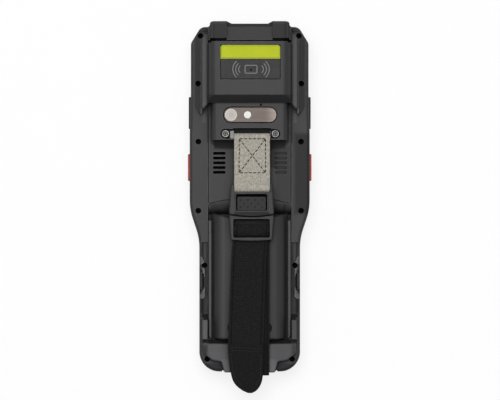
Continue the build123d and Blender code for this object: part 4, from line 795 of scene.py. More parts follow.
def show(thing: bpy.types.Object) -> bpy.types.Object:
    """Put an object in the scene and return it."""
    bpy.context.scene.collection.objects.link(thing)
    return thing


def report(piece: bpy.types.Object) -> None:
    """Log a finished piece."""
    LOG.info("%s: %d faces", piece.name, len(piece.data.polygons))


def settle(piece: bpy.types.Object, body: str) -> None:
    """Let a finished piece ride on its body.

    Args:
        piece: The piece.
        body: The name of the body.
    """
    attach(piece, body)
    report(piece)


def dress(finish: Finish, *nodes: str) -> None:
    """Give solids of the frame their finish.

    Args:
        finish: The finish.
        *nodes: The names of the solids.
    """
    material = finish.material()
    for node in nodes:
        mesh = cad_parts[node].data
        mesh.materials.clear()
        mesh.materials.append(material)
        LOG.info("%s: %s", node, material.name)


def plan_box(node: str, border: float = 0.0) -> tuple[Plan, Plan]:
    """Return where a solid lies in the plan.

    Args:
        node: The solid's name.
        border: The width of its rim, which is left out.

    Returns:
        Its middle, and half its width and height.
    """
    low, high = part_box(node)
    middle = tuple((a + b) / 2 / MM for a, b in zip(low, high))[:2]
    half = tuple((b - a) / 2 / MM - border for a, b in zip(low, high))[:2]
    return middle, half


class Route:
    """A smooth way in space through given points, for a strip that was cut flat."""

    order = 3

    def __init__(self, points: list[Point], closed: bool = False) -> None:
        """Draw the way once and note its length at each of its points.

        Args:
            points: The points that it is drawn to.
            closed: Whether it comes back to its start.
        """
        curve = bpy.data.curves.new("route", "CURVE")
        curve.dimensions = "3D"
        spline = curve.splines.new("NURBS")
        spline.points.add(len(points) - 1)
        for target, point in zip(spline.points, points):
            target.co = (*(c * MM for c in point), 1.0)
        spline.order_u = self.order
        spline.use_endpoint_u = not closed
        spline.use_cyclic_u = closed
        spline.resolution_u = 12
        thing = bpy.data.objects.new("route", curve)
        mesh = bpy.data.meshes.new_from_object(thing)
        self.way = [v.co.copy() for v in mesh.vertices]
        if closed:
            self.way.append(self.way[0].copy())
        bpy.data.objects.remove(thing)
        bpy.data.curves.remove(curve)
        bpy.data.meshes.remove(mesh)
        self.marks = [0.0]
        for a, b in zip(self.way, self.way[1:]):
            self.marks.append(self.marks[-1] + (b - a).length)

    def at(self, share: float) -> Vector:
        """Return the point at a share of the route's length.

        Args:
            share: The share, from 0 to 1.

        Returns:
            The point, in metres.
        """
        goal = min(max(share, 0.0), 1.0) * self.marks[-1]
        for index, (low, high) in enumerate(zip(self.marks, self.marks[1:])):
            if high >= goal:
                part = (goal - low) / (high - low) if high > low else 0.0
                return self.way[index].lerp(self.way[index + 1], part)
        return self.way[-1].copy()


@dataclass
class CutCloth:
    """A cloth that is cut flat and then laid in place.

    Its cut and lay take a place on the cloth, from -1 to 1 across and from 0 to 1 along.
    """

    name: str
    grid: tuple[int, int]
    cut: Callable[[float, float], Plan]
    lay: Callable[[float, float], Vector]
    thick: float
    edge: float

    def make(self, finish: Finish) -> bpy.types.Object:
        """Return the cloth as an object, laid in place.

        Args:
            finish: The cloth's finish.

        Returns:
            The cloth.
        """
        form = Form()
        bm = form.bm
        columns, rows = self.grid
        bmesh.ops.create_grid(bm, x_segments=columns, y_segments=rows, size=1.0)
        flat = bm.loops.layers.uv.new("cut")
        for face in bm.faces:
            for loop in face.loops:
                loop[flat].uv = self.cut(loop.vert.co.x, (loop.vert.co.y + 1) / 2)
        for vert in bm.verts:
            vert.co = self.lay(vert.co.x, (vert.co.y + 1) / 2)
        cloth = form.done(self.name, finish.material())
        solid = cloth.modifiers.new("Solidify", "SOLIDIFY")
        solid.thickness = self.thick * MM
        solid.offset = 0.0
        solid.use_even_offset = True
        rounded = cloth.modifiers.new("Bevel", "BEVEL")
        rounded.width = self.edge * MM
        rounded.segments = 3
        rounded.limit_method = "ANGLE"
        rounded.angle_limit = 1.0
        return cloth


STRIP_COLUMNS = 10
STRIP_EDGE = 0.3  # of its thickness


def strip(name: str, route: Route, widths: Plan, thick: float, rows: int) -> CutCloth:
    """Return a strip that follows a route.

    Args:
        name: The strip's name.
        route: The route.
        widths: The strip's width at the start and at the end.
        thick: The strip's thickness.
        rows: How finely it is divided along.

    Returns:
        The cut strip.
    """
    start, end = widths

    def aside(u: float, v: float) -> float:
        """Return how far a place is from the middle line, in metres."""
        return u * (start + (end - start) * v) / 2 * MM

    return CutCloth(
        name,
        (STRIP_COLUMNS, rows),
        cut=lambda u, v: (aside(u, v), v * route.marks[-1]),
        lay=lambda u, v: route.at(v) + Vector((aside(u, v), 0, 0)),
        thick=thick,
        edge=thick * STRIP_EDGE,
    )


def edges_at(outline: list[Point], y: float) -> Plan:
    """Return a cloth's left and right edge at a height.

    Args:
        outline: The y, the left edge and the right edge at each corner, downwards.
        y: The height.

    Returns:
        The two edges' x.
    """
    for (ya, la, ra), (yb, lb, rb) in zip(outline, outline[1:]):
        part = (ya - y) / (ya - yb)
        if part <= 1.0 + 1e-6:
            return la + (lb - la) * part, ra + (rb - ra) * part
    return outline[-1][1:]


@dataclass
class Seam:
    """A run of stitches between two points of the plan."""

    start: Plan
    end: Plan
    pitch: float = 2.7
    thread: float = 0.62
    share: float = 0.9


class Sewing:
    """The sewing on a made cloth, which follows its upper face."""

    above = 0.2  # in metres
    ahead = 0.5

    def __init__(self, cloth: bpy.types.Object) -> None:
        """Take the cloth, with its modifiers."""
        graph = bpy.context.evaluated_depsgraph_get()
        self.tree = BVHTree.FromObject(cloth, graph)

    def touch(self, place: Vector) -> tuple[Vector, Vector]:
        """Return the point and the normal of the cloth under a place of the plan."""
        return self.tree.ray_cast(Vector((*place, self.above)), Vector((0, 0, -1)))[:2]

    def sew(self, name: str, seams: list[Seam], thread: Finish) -> bpy.types.Object:
        """Sew some seams.

        Args:
            name: The name of the seams' piece.
            seams: The seams.
            thread: The thread's finish.

        Returns:
            The seams as one object.
        """
        form = Form()
        for seam in seams:
            a, b = Vector(seam.start) * MM, Vector(seam.end) * MM
            count = max(2, round((b - a).length / (seam.pitch * MM)))
            length = (b - a).length / count * seam.share
            for index in range(count):
                middle = a.lerp(b, (index + 0.5) / count)
                place, up = self.touch(middle)
                nose, _up = self.touch(middle + (b - a).normalized() * self.ahead * MM)
                form.stitch(place, nose - place, up, length, seam.thread * MM)
        return form.done(name, thread.material())


# ---------------------------------------------------------------------------
# The terminal's finishes

CASING = MouldedPlastic(
    "casing_plastic",
    (0.0265, 0.0265, 0.0275),
    wells=(
        # Painted shade in the deep hollows: the strap's recess and slot, the gap round the camera
        # plate, the left speaker slots, the battery's moat and its bottom gap, the gap under the
        # bumper, the notches above the wing pads and the pockets by the ports.
        Well((0.4, 37.9), (17.6, 2.9), 25.2, 0.6),
        Well((1.4, 36.8), (11.2, 4.6), 26.2, 0.8),
        Well((0.4, 49.2), (16.5, 5.2), 27.2, 0.15),
        Well((-18.2, 20.5), (4.2, 7.0), 21.75, 0.1),
        Well((0.0, -86.7), (28.4, 1.2), 21.7, 1.2),
        Well((0.0, -45.0), (24.9, 44.0), 21.2, 0.15),
        Well((0.0, 95.0), (25.0, 2.6), 32.2, 0.15),
        *both_sides(Well((26.6, -71.8), (1.7, 1.8), 21.7, 0.6)),
        *both_sides(Well((29.0, -50.4), (1.6, 4.8), 21.3, 0.15)),
    ),
    patches=(
        # Painted highlight on the wing pads, stronger on the left one.
        Patch((-26.7, -79.2), (1.9, 5.9), 1.6),
        Patch((26.7, -79.2), (1.9, 5.9), 1.15),
        # Painted shade on the camera block's lower slope.
        Patch((0.0, 31.4), (22.0, 3.2), 0.55, 1.2),
        # Painted shadow of the strap beside the tab, with fine ribs.
        Patch((13.9, 24.0), (3.6, 8.0), 0.5, 2.4, 0.9),
        # Painted highlight along the crests of the side strips, and painted shade in the coves
        # inside them.
        *both_sides(Patch((27.2, 70.0), (1.6, 26.0), 1.35, 1.3)),
        *both_sides(Patch((25.2, 62.0), (0.9, 30.0), 0.6, 0.9)),
        # Painted shade on the right of the ledge and beside the strap.
        Patch((31.4, 14.0), (6.4, 26.0), 0.58, 3.6),
        Patch((20.2, 14.0), (5.6, 18.0), 0.8, 2.4),
        # Painted shade on the head's lower slope, and in the microphone hole.
        Patch((0.0, 58.6), (26.0, 3.1), 0.62, 0.7),
        Patch((6.7, 55.2), (0.8, 0.8), 0.15, 0.3),
        # Darker on the ledge beside the ports.
        *both_sides(Patch((28.0, -56.0), (2.2, 14.0), 0.68, 1.0)),
        # Painted shade at the bottom end, by the cover.
        Patch((0.0, -103.4), (29.0, 4.0), 0.6, 1.2),
    ),
)
FRONT = MouldedPlastic("front_plastic", (0.024, 0.0245, 0.026), grain=0.3)
BUMPER = MouldedPlastic(
    "bumper_plastic",
    (0.0275, 0.0275, 0.0295),
    roughness=0.64,
    patches=(
        # Painted shade on the cap's end slope and on the ears, and a painted highlight along the
        # ears' outer sides.
        Patch((0.0, 103.0), (14.0, 1.6), 0.66, 0.8),
        *both_sides(Patch((18.6, 98.8), (5.4, 5.4), 0.74, 1.0)),
        *both_sides(Patch((22.6, 99.0), (0.9, 6.0), 1.3, 0.9)),
    ),
)
COVER = MouldedPlastic(
    "cover_plastic",
    (0.070, 0.0705, 0.074),
    patches=(
        # Painted shade on the cover's rounded sides and on its right half, and a painted highlight
        # on the tongue.
        *both_sides(Patch((29.0, -94.0), (5.0, 6.5), 0.5, 3.0)),
        Patch((0.0, -102.5), (17.5, 6.0), 1.3, 1.6),
        Patch((23.0, -93.0), (10.0, 8.0), 0.85, 4.0),
    ),
)
BATTERY = MouldedPlastic(
    "battery_plastic",
    (0.029, 0.029, 0.0295),
    patches=(
        # Painted highlight on the rims, stronger on the left, and on the hump's left flank;
        # painted shade in the right valley.
        Patch((-24.1, -45.0), (1.0, 41.0), 1.5, 0.7),
        Patch((24.1, -45.0), (1.0, 41.0), 1.3, 0.7),
        Patch((-16.6, -45.0), (2.4, 40.0), 1.3, 2.0),
        Patch((20.9, -45.0), (1.2, 41.0), 0.66, 0.8),
    ),
)
ACETAL = MouldedPlastic(
    "buckle_plastic",
    (0.024, 0.0235, 0.024),
    grain=0.5,
    depth=0.008,
    wells=(
        # Painted shade in the socket's window and in the plug's slot.
        Well((1.2, -3.9), (10.3, 5.8), 32.0, 0.15),
        Well((1.2, -19.0), (11.0, 6.2), 31.4, 0.15),
    ),
    # Painted shade in a band where the socket meets the plug.
    patches=(Patch((1.2, -10.0), (11.0, 1.3), 0.5, 0.8),),
)
PAD = DimpledPlastic("pad_plastic", (0.008, 0.0077, 0.008), roughness=0.6, grain=0.5, depth=0.008)
BLACK_KEY = MouldedPlastic("black_key_plastic", (0.012, 0.012, 0.013), roughness=0.5)
RED_KEY = MouldedPlastic("red_key_plastic", (0.56, 0.085, 0.055), roughness=0.5, polish=0.2)
GREY_KEY = MouldedPlastic("grey_key_plastic", (0.09, 0.094, 0.10), roughness=0.5)
INNER_BLACK = MouldedPlastic(
    "inner_black_plastic", (0.004, 0.004, 0.0043), roughness=0.7, specular=0.05
)
# The lids' edges get a strong painted highlight.
LID_RUBBER = MouldedPlastic(
    "lid_rubber", (0.030, 0.031, 0.032), roughness=0.7, polish=2.6, specular=0.3
)
SKIN_RUBBER = MouldedPlastic(
    "skin_rubber",
    (0.092, 0.095, 0.100),
    roughness=0.7,
    # Darker in the middle of each skin.
    patches=both_sides(Patch((30.2, -49.0), (2.6, 9.6), 0.4, 1.6)),
    wells=(
        # Painted shade in the small pockets of each skin.
        *both_sides(Well((28.8, -44.9), (0.7, 1.1), 21.75, 0.15)),
        *both_sides(Well((28.7, -56.2), (1.3, 2.2), 21.75, 0.15)),
    ),
)
PRINT_GREY = MouldedPlastic("print_grey", (0.17, 0.17, 0.173), depth=0.002, polish=0.0)
PRINT_BLACK = MouldedPlastic(
    "print_black", (0.004, 0.004, 0.004), depth=0.002, polish=0.0, specular=0.1
)
FIGURE_WHITE = MouldedPlastic("figure_white", (0.75, 0.75, 0.75), depth=0.002, polish=0.0)
SEAL = Rubber("seal_rubber", (0.010, 0.010, 0.010))
CELL_WRAP = Rubber("cell_wrap", (0.03, 0.05, 0.16), 0.35)
STEEL = BrushedMetal("plain_steel", (0.27, 0.265, 0.26), roughness=0.58)
# Painted shade on the bar's ends, by the screws.
BAR_END_SHADE = Patch((0.4, 0.0), (12.2, 60.0), 0.06)
BAR_STEEL = BrushedMetal("bar_steel", (0.205, 0.20, 0.196), roughness=0.58, plated=BAR_END_SHADE)
BLACK_SCREW = BrushedMetal("black_screw_steel", (0.006, 0.006, 0.0065), roughness=0.6)
# The plate gets a painted highlight towards its right end.
PLATE = BrushedMetal(
    "camera_plate_steel", (0.160, 0.135, 0.121), roughness=0.6, turned=(8.5, 16.5, 1.75)
)
GOLD = BrushedMetal("contact_gold", (0.80, 0.58, 0.22), roughness=0.4)
COPPER = BrushedMetal("coil_copper", (0.72, 0.40, 0.24), roughness=0.45)
BAR_SCREW = RingedScrew("ringed_screw", (0.30, 0.295, 0.29), ((-14.55, 37.9), (15.35, 37.9)))
SCAN_GLASS = Pane("scan_glass", (0.075, 0.006, 0.008), roughness=0.1, clear=0.2, coat=0.0)
LAMP_LENS = Pane("lamp_lens", (0.76, 0.74, 0.70), roughness=0.5, coat=0.0)
DISPLAY_PANEL = Pane("display_panel", (0.02, 0.022, 0.026), roughness=0.25)
TAB_CLOTH = Webbing("tab_webbing", (0.50, 0.465, 0.40), (0.27, 0.25, 0.21), heather=0.3)
BLACK_CLOTH = Webbing(
    "black_cloth", (0.0125, 0.0113, 0.0112), (0.0045, 0.0042, 0.0042), depth=0.2, heather=0.7
)
END_CLOTH = replace(BLACK_CLOTH, name="end_tab_cloth", thread=0.8, row=0.6, fuzz=0.05)
ELASTIC_CLOTH = replace(
    BLACK_CLOTH,
    name="elastic_webbing",
    colour=(0.0110, 0.0104, 0.0106),
    weft=(0.0035, 0.0033, 0.0035),
    thread=1.1,
    row=0.8,
    fuzz=0.04,
    selvedge=8.9,
    ribs=1.3,
    # Painted shade where the elastic runs close to other parts.
    reach=4.0,
)
TAB_THREAD = Thread("tab_thread", (0.008, 0.008, 0.008))
END_THREAD = Thread("end_thread", (0.016, 0.0155, 0.0155))
BOARD = CircuitBoard("circuit_board", (0.012, 0.10, 0.045))


# ---------------------------------------------------------------------------
# The terminal's sub-assemblies


@dataclass
class Housing:
    """The two shells, their seal and screws, the bumper and the bottom cover."""

    def build(self) -> None:
        """Dress the shells and what closes them."""
        dress(CASING, "rear_housing")
        dress(FRONT, "front_housing")
        dress(BUMPER, "scan_bumper")
        dress(COVER, "bottom_cover")
        dress(SEAL, "perimeter_gasket")
        dress(BLACK_SCREW, "case_screws")


@dataclass
class ScannerHead:
    """The head's labels, antenna, scan window and engine."""

    mark_middle: Plan = (0.8, 76.4)
    mark_size: Plan = (7.6, 5.2)
    mark_line: float = 0.5
    corner: float = 0.9
    corner_steps: int = 6
    dot: float = 1.4
    dot_drop: float = 0.3
    arc_offset: float = 4.7
    arc_radii: tuple[float, ...] = (2.7, 4.5, 6.2)
    arc_half_angle: float = 50.0
    arc_steps: int = 16
    print_sink: float = 0.005
    print_height: float = 0.03

    def build(self) -> None:
        """Dress the head's solids and lay the reader mark on its label."""
        grey, line = (0.034, 0.034, 0.0355), (0.004, 0.004, 0.004)
        reader = Film("reader_film", grey, line, *plan_box("reader_label"), inset=0.0, width=0.4)
        dress(reader, "reader_label")
        yellow, line = (0.46, 0.525, 0.008), (0.10, 0.11, 0.01)
        dress(Film("yellow_film", yellow, line, *plan_box("yellow_label")), "yellow_label")
        dress(SCAN_GLASS, "scan_window")
        dress(INNER_BLACK, "scanner_module")
        dress(COPPER, "reader_antenna")
        self.reader_mark()

    def reader_mark(self) -> None:
        """Print the card outline, its dot and the waves on both sides."""
        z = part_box("reader_label")[1].z - self.print_sink * MM
        middle = Vector((*(c * MM for c in self.mark_middle), z))
        mark = Form()
        self.card(mark, middle)
        for side in Side:
            for radius in self.arc_radii:
                self.wave(mark, middle, radius * MM, side)
        place = Matrix.Translation(middle - Vector((0, self.dot_drop * MM, 0)))
        dot = Form()
        bmesh.ops.create_circle(
            dot.bm, cap_ends=True, segments=24, radius=self.dot / 2 * MM, matrix=place
        )
        dot.raise_faces(list(dot.bm.faces), self.print_height * MM)
        settle(mark.done("reader_mark", PRINT_GREY.material(), False), "root")
        settle(dot.done("reader_dot", PRINT_BLACK.material(), False), "root")

    def card(self, form: Form, middle: Vector) -> None:
        """Add the card's outline, a thin ring with rounded corners.

        Args:
            form: The mesh that takes it.
            middle: The card's centre, in metres.
        """
        bm = form.bm
        w, h = (size / 2 - self.corner for size in self.mark_size)
        loops = []
        for reach in (self.corner, self.corner - self.mark_line):
            ring = []
            for sx, sy, start in ((1, 1, 0), (-1, 1, 90), (-1, -1, 180), (1, -1, 270)):
                for step in range(self.corner_steps + 1):
                    turn = math.radians(start + 90 / self.corner_steps * step)
                    corner = Vector((sx * w, sy * h, 0)) * MM
                    out = Vector((math.cos(turn), math.sin(turn), 0)) * reach * MM
                    ring.append(bm.verts.new(middle + corner + out))
            loops.extend(bm.edges.new(pair) for pair in zip(ring, [*ring[1:], ring[0]]))
        made = bmesh.ops.bridge_loops(bm, edges=loops)
        form.raise_faces(made["faces"], self.print_height * MM)

    def wave(self, form: Form, middle: Vector, radius: float, side: Side) -> None:
        """Add one wave, an arc beside the card.

        Args:
            form: The mesh that takes it.
            middle: The card's centre, in metres.
            radius: The arc's radius, in metres.
            side: The side of the card that it is on.
        """
        bm = form.bm
        half = math.radians(self.arc_half_angle)
        start = 0.0 if side is Side.RIGHT else math.pi
        place = middle + Vector((side.value * self.arc_offset * MM, 0, 0))
        turn = Matrix.Rotation(start - half, 4, "Z")
        line = self.mark_line / 2 * MM
        verts = [bm.verts.new(place + turn @ Vector((radius + s * line, 0, 0))) for s in (-1, 1)]
        edge = bm.edges.new(verts)
        older = set(bm.faces)
        bmesh.ops.spin(
            bm, geom=[*verts, edge], cent=place, axis=(0, 0, 1), angle=2 * half,
            steps=self.arc_steps, use_merge=False,
        )
        form.raise_faces([f for f in bm.faces if f not in older], self.print_height * MM)


@dataclass
class CameraPlate:
    """The capsule plate with the camera's cover and the flash."""

    cover: Colour = (0.50, 0.455, 0.42)

    def build(self) -> None:
        """Dress the plate and what it frames."""
        dress(PLATE, "camera_bezel")
        middle, _half = plan_box("camera_window")
        dress(LensGlass("lens_cover", self.cover, middle), "camera_window")
        dress(LAMP_LENS, "flash_led")
        dress(INNER_BLACK, "camera_module")


@dataclass
class Battery:
    """The battery pack with its latch."""

    def build(self) -> None:
        """Dress the pack."""
        dress(BATTERY, "battery_shell")
        dress(BLACK_KEY, "battery_latch")
        dress(CELL_WRAP, "battery_cells")
        dress(GOLD, "battery_contacts")


@dataclass
class HandStrap:
    """The webbing tab, the elastic with its end tab, and their seams."""

    ply: float = 1.4
    tab_x: float = 1.4
    tab_width: float = 21.4
    upper_bar: Plan = (35.38, 26.0)
    buckle_bar: Plan = (5.9, 30.4)
    upper_turn: Plan = (1.82, 3.4)
    buckle_turn: Plan = (2.02, 3.6)
    turn_cheek: float = 1.06
    turn_nose: float = 1.02
    turn_tip: float = 1.18
    turn_back: float = 0.4
    ply_gap: float = 0.02
    pinch: float = 6.0
    swell: float = 0.25
    bend_gaps: Plan = (2.0, 3.0)
    box_seam: Bar = (-6.3, 9.5, 14.5, 34.9)
    band_widths: Plan = (21.2, 20.2)
    tail_z: float = 30.7
    under_z: float = 29.1
    middle_z: float = 28.0
    rest_y: float = -95.0
    move_y: float = -24.0
    end_thick: float = 1.55
    end_edge: float = 0.5
    end_lap: float = 0.02
    end_pitch: float = 2.0
    end_stitch: float = 0.6

    def build(self) -> None:
        """Make the strap's cloth and sew it."""
        self.webbing_tab()
        self.elastic()
        self.end_tab()
        dress(BAR_STEEL, "strap_bar")
        dress(STEEL, "lower_strap_bar")
        dress(BAR_SCREW, "strap_bar_screws")

    def at(self, y: float) -> Point:
        """Return a point of the strap's middle line, in metres."""
        return (0.0, y * MM, self.middle_z * MM)

    def turn(self, bar: Plan, size: Plan, way: int) -> list[Plan]:
        """Return the points of the tab's turn round a bar.

        Args:
            bar: The bar's y and z.
            size: The turn's radius, and how far from the bar the plies come together.
            way: 1 for the upper bar, or -1 for the buckle's.

        Returns:
            The y and z of each point.
        """
        y, z = bar
        radius, lead = size
        (ya, za), (yb, zb) = self.upper_bar, self.buckle_bar
        slope = (zb - za) / (yb - ya)
        half = self.ply / 2 + self.ply_gap

        def ply(side: int) -> list[Plan]:
            """Return the points on one side of the bar, towards it.

            Args:
                side: 1 for the upper ply, or -1 for the lower one.

            Returns:
                The y and z of each point.
            """
            far, near = y - way * self.pinch, y - way * lead
            return [
                (far, za + slope * (far - ya) + side * half),
                (near, za + slope * (near - ya) + side * (half + self.swell)),
                (y - way * self.turn_back, z + side * radius * self.turn_cheek),
                (y + way * radius, z + side * radius * self.turn_nose),
            ]

        return [*ply(way), (y + way * radius * self.turn_tip, z), *reversed(ply(-way))]

    def webbing_tab(self) -> None:
        """Make the tab, one strip that runs round both bars and back, and sew it."""
        upper = self.turn(self.upper_bar, self.upper_turn, 1)
        lower = self.turn(self.buckle_bar, self.buckle_turn, -1)
        y, z = ((a + b) / 2 for a, b in zip(self.upper_bar, self.buckle_bar))
        half = self.ply / 2 + self.ply_gap
        points = [*upper, (y, z - half), *lower, (y, z + half)]
        route = Route([(self.tab_x, *point) for point in points], closed=True)
        widths = (self.tab_width, self.tab_width)
        tab = strip("webbing_tab", route, widths, self.ply, rows=220).make(TAB_CLOTH)
        left, right, low, high = self.box_seam
        corners = [(left, low), (right, low), (right, high), (left, high)]
        seams = [Seam(*run) for run in zip(corners, [*corners[1:], corners[0]])]
        seams += [Seam(corners[0], corners[2]), Seam(corners[3], corners[1])]
        sewn = Sewing(tab).sew("tab_seams", seams, TAB_THREAD)
        start = self.at(self.upper_bar[0] - self.bend_gaps[0])
        end = self.at(self.buckle_bar[0] + self.bend_gaps[1])
        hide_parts("strap_tab")
        for piece, slot in ((tab, "webbing_grey"), (sewn, "elastic_black")):
            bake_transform(piece)
            report(piece)

    def elastic(self) -> None:
        """Make the elastic, from its tail round the plug's bar to the lower bar."""
        up, under = self.tail_z, self.under_z
        tail = [(-2.4, -90.0, up), (-1.4, -60.0, up), (-0.5, -36.0, up), (0.2, -27.5, up)]
        fold = [
            (0.7, -24.5, up), (1.0, -22.6, up + 1.2), (1.2, -20.6, up + 1.95),
            (1.3, -18.4, up + 1.95), (1.4, -16.9, up + 1.8), (1.4, -16.75, up),
            (1.4, -16.9, under + 0.05), (1.4, -19.5, under),
        ]
        run = [
            (-50.0, under), (-82.0, under), (-86.0, under), (-91.0, under - 1.9),
            (-95.0, under - 2.0), (-104.6, under - 2.0), (-106.3, under - 2.2),
            (-106.2, 24.0), (-106.2, 18.0), (-106.0, 13.5), (-103.6, 13.2), (-101.6, 13.2),
            (-100.4, 14.2), (-100.5, 16.4), (-102.2, 17.2), (-104.0, 16.8),
        ]
        route = Route([*tail, *fold, *((1.5, y, z) for y, z in run)])
        band = strip("elastic_band", route, self.band_widths, self.ply, rows=420)
        band = band.make(ELASTIC_CLOTH)
        start, end = self.at(self.rest_y), self.at(self.move_y)
        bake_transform(band)
        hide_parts("elastic_strap")
        report(band)

    def end_tab(self) -> None:
        """Make the end tab, which narrows to a rounded tip, and sew round it."""
        low, high = (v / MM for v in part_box("strap_end_tab"))
        outline = [
            (high.y, low.x, high.x), (-95.8, -12.7, high.x), (-102.2, -11.9, high.x),
            (-107.0, -11.0, 7.9), (-109.6, -10.2, 7.5), (-111.6, -9.1, 6.9),
            (-113.2, -7.7, 6.1), (-114.6, -6.1, 5.2), (-115.7, -4.5, 4.2),
            (-116.4, -3.2, 3.3), (-116.8, -2.1, 2.4), (low.y, -1.0, 1.4),
        ]
        top = high.z - self.end_thick / 2
        rise = top - (low.z + self.end_thick / 2)
        foot = low.y + self.end_lap

        def lay(u: float, v: float) -> Vector:
            """Lay one place of the cloth.

            Args:
                u: The place across, from -1 to 1.
                v: The place along, from 0 to 1.

            Returns:
                Where it lies, in metres.
            """
            y = foot + (high.y - foot) * v
            left, right = edges_at(outline, y)
            x = left + (right - left) * (u + 1) / 2
            return Vector((x, y, top - rise * (high.y - y) / (high.y - low.y))) * MM

        cloth = CutCloth(
            "end_tab", (16, 72), lambda u, v: lay(u, v).xy, lay, self.end_thick, self.end_edge
        )
        tab = cloth.make(END_CLOTH)
        runs = [
            ((-11.2, -89.9), (6.2, -90.9)), ((-11.2, -91.6), (6.2, -92.6)),
            ((-11.3, -93.6), (-9.7, -106.6)), ((-9.7, -106.6), (-5.0, -112.6)),
            ((6.6, -94.4), (6.5, -107.6)), ((6.5, -107.6), (3.4, -113.2)),
        ]
        seams = [Seam(*run, self.end_pitch, self.end_stitch) for run in runs]
        sewn = Sewing(tab).sew("end_tab_seams", seams, END_THREAD)
        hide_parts("strap_end_tab")
        for piece in (tab, sewn):
            settle(piece, "root")


@dataclass
class Buckle:
    """The centre-release buckle."""

    def build(self) -> None:
        """Dress the buckle's two halves and its release pad."""
        dress(ACETAL, "buckle_socket", "buckle_plug")
        dress(PAD, "buckle_release")


@dataclass
class Ports:
    """The two hinged port lids and what they cover."""

    def build(self) -> None:
        """Dress the lids, pins and sockets."""
        dress(LID_RUBBER, "port_lid_left", "port_lid_right")
        dress(SKIN_RUBBER, "port_skins")
        dress(STEEL, "lid_hinge_pins", "usb_socket")
        dress(INNER_BLACK, "audio_socket")


def row_of_bars(half: float, *bars: Plan) -> tuple[Bar, ...]:
    """Return upright bars from each one's left edge and width."""
    return tuple((x, -half, x + width, half) for x, width in bars)


@dataclass
class Keys:
    """The edge keys, and the keypad with its printed figures.

    An icon is the left, lower, right and upper edge of each of its bars.
    """

    figure_height: float = 4.6
    font_scale: float = 1.4
    figure_depth: float = 0.02
    figure_sink: float = 0.005
    icon_proud: float = 0.015
    icon_depth: float = 0.02
    figures: dict[str, str] = field(
        default_factory=lambda: {
            **{f"key_{n}": str(n) for n in range(10)}, "key_star": "*", "key_hash": "#"
        }
    )
    icons: dict[str, tuple[Bar, ...]] = field(
        default_factory=lambda: {
            "key_menu": tuple((-2.0, y, 2.0, y + 0.5) for y in (-1.5, -0.25, 1.0)),
            "key_back": (
                (-2.0, -0.25, 1.2, 0.25), (1.2, -1.1, 1.6, 1.1), (1.6, -0.55, 2.1, 0.55)
            ),
            "key_scan": row_of_bars(
                1.6, (-3.0, 0.6), (-1.9, 0.3), (-1.1, 0.9), (0.3, 0.3), (1.1, 0.6), (2.2, 0.9)
            ),
        }
    )

    def build(self) -> None:
        """Dress the keys and print their figures."""
        dress(RED_KEY, "scan_key_left", "scan_key_right", "key_scan")
        dress(BLACK_KEY, "side_key_left", "side_key_right")
        dress(GREY_KEY, *self.figures, "key_menu", "key_back")
        dress(SEAL, "keypad_mat")
        dress(BOARD, "keypad_board", "main_board")
        dress(INNER_BLACK, "side_switches", "speaker")
        white = FIGURE_WHITE.material()
        for key in self.figures:
            settle(self.figure(key, white), key)
        for key in self.icons:
            settle(self.icon(key, white), key)

    def face(self, key: str, lift: float) -> Vector:
        """Return a place over the middle of a key's outer face, in metres."""
        low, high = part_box(key)
        return Vector(((low.x + high.x) / 2, (low.y + high.y) / 2, low.z + lift * MM))

    def icon(self, key: str, material: bpy.types.Material) -> bpy.types.Object:
        """Return a plain icon of bars on a key's face.

        Args:
            key: The key's node.
            material: The print's finish.

        Returns:
            The icon.
        """
        middle = self.face(key, -self.icon_proud)
        form = Form()
        for x0, y0, x1, y1 in self.icons[key]:
            corners = [Vector((*c, 0)) for c in ((x0, y0), (x1, y0), (x1, y1), (x0, y1))]
            face = form.bm.faces.new([form.bm.verts.new(middle + c * MM) for c in corners])
            form.raise_faces([face], self.icon_depth * MM)
        return form.done(f"{key}_icon", material, smooth=False)

    def figure(self, key: str, material: bpy.types.Material) -> bpy.types.Object:
        """Return one figure on a key's face.

        Args:
            key: The key's node.
            material: The print's finish.

        Returns:
            The figure.
        """
        curve = bpy.data.curves.new(f"{key}_print", "FONT")
        curve.body = self.figures[key]
        curve.size = self.figure_height * self.font_scale * MM
        curve.align_x = "CENTER"
        curve.align_y = "CENTER"
        curve.extrude = self.figure_depth * MM
        thing = bpy.data.objects.new(f"{key}_text", curve)
        mesh = bpy.data.meshes.new_from_object(thing)
        bpy.data.objects.remove(thing)
        bpy.data.curves.remove(curve)
        turn = Euler((0, math.pi, 0)).to_matrix().to_4x4()
        mesh.transform(Matrix.Translation(self.face(key, -self.figure_sink)) @ turn)
        mesh.materials.clear()
        mesh.materials.append(material)
        return show(bpy.data.objects.new(f"{key}_figure", mesh))


@dataclass
class Display:
    """The display's glass and panel."""

    rim: float = 2.6
    glass: Colour = (0.016, 0.017, 0.02)
    border: Colour = (0.004, 0.004, 0.004)

    def build(self) -> None:
        """Dress the display."""
        middle, half = plan_box("display_window", self.rim)
        glass = Pane("display_glass", self.glass, border=self.border, middle=middle, half=half)
        dress(glass, "display_window")
        dress(DISPLAY_PANEL, "display_panel")


# ---------------------------------------------------------------------------
# The studio


@dataclass(frozen=True)
class Lamp:
    """A soft lamp that faces the terminal, in metres and watts."""

    name: str
    place: Point
    size: Plan
    watts: float

    def light(self) -> None:
        """Add the lamp to the scene."""
        light = bpy.data.lights.new(self.name, "AREA")
        light.shape = "RECTANGLE"
        light.size, light.size_y = self.size
        light.energy = self.watts
        lamp = show(bpy.data.objects.new(self.name, light))
        lamp.location = self.place
        lamp.rotation_mode = "QUATERNION"
        lamp.rotation_quaternion = (-Vector(self.place)).to_track_quat("-Z", "Y")


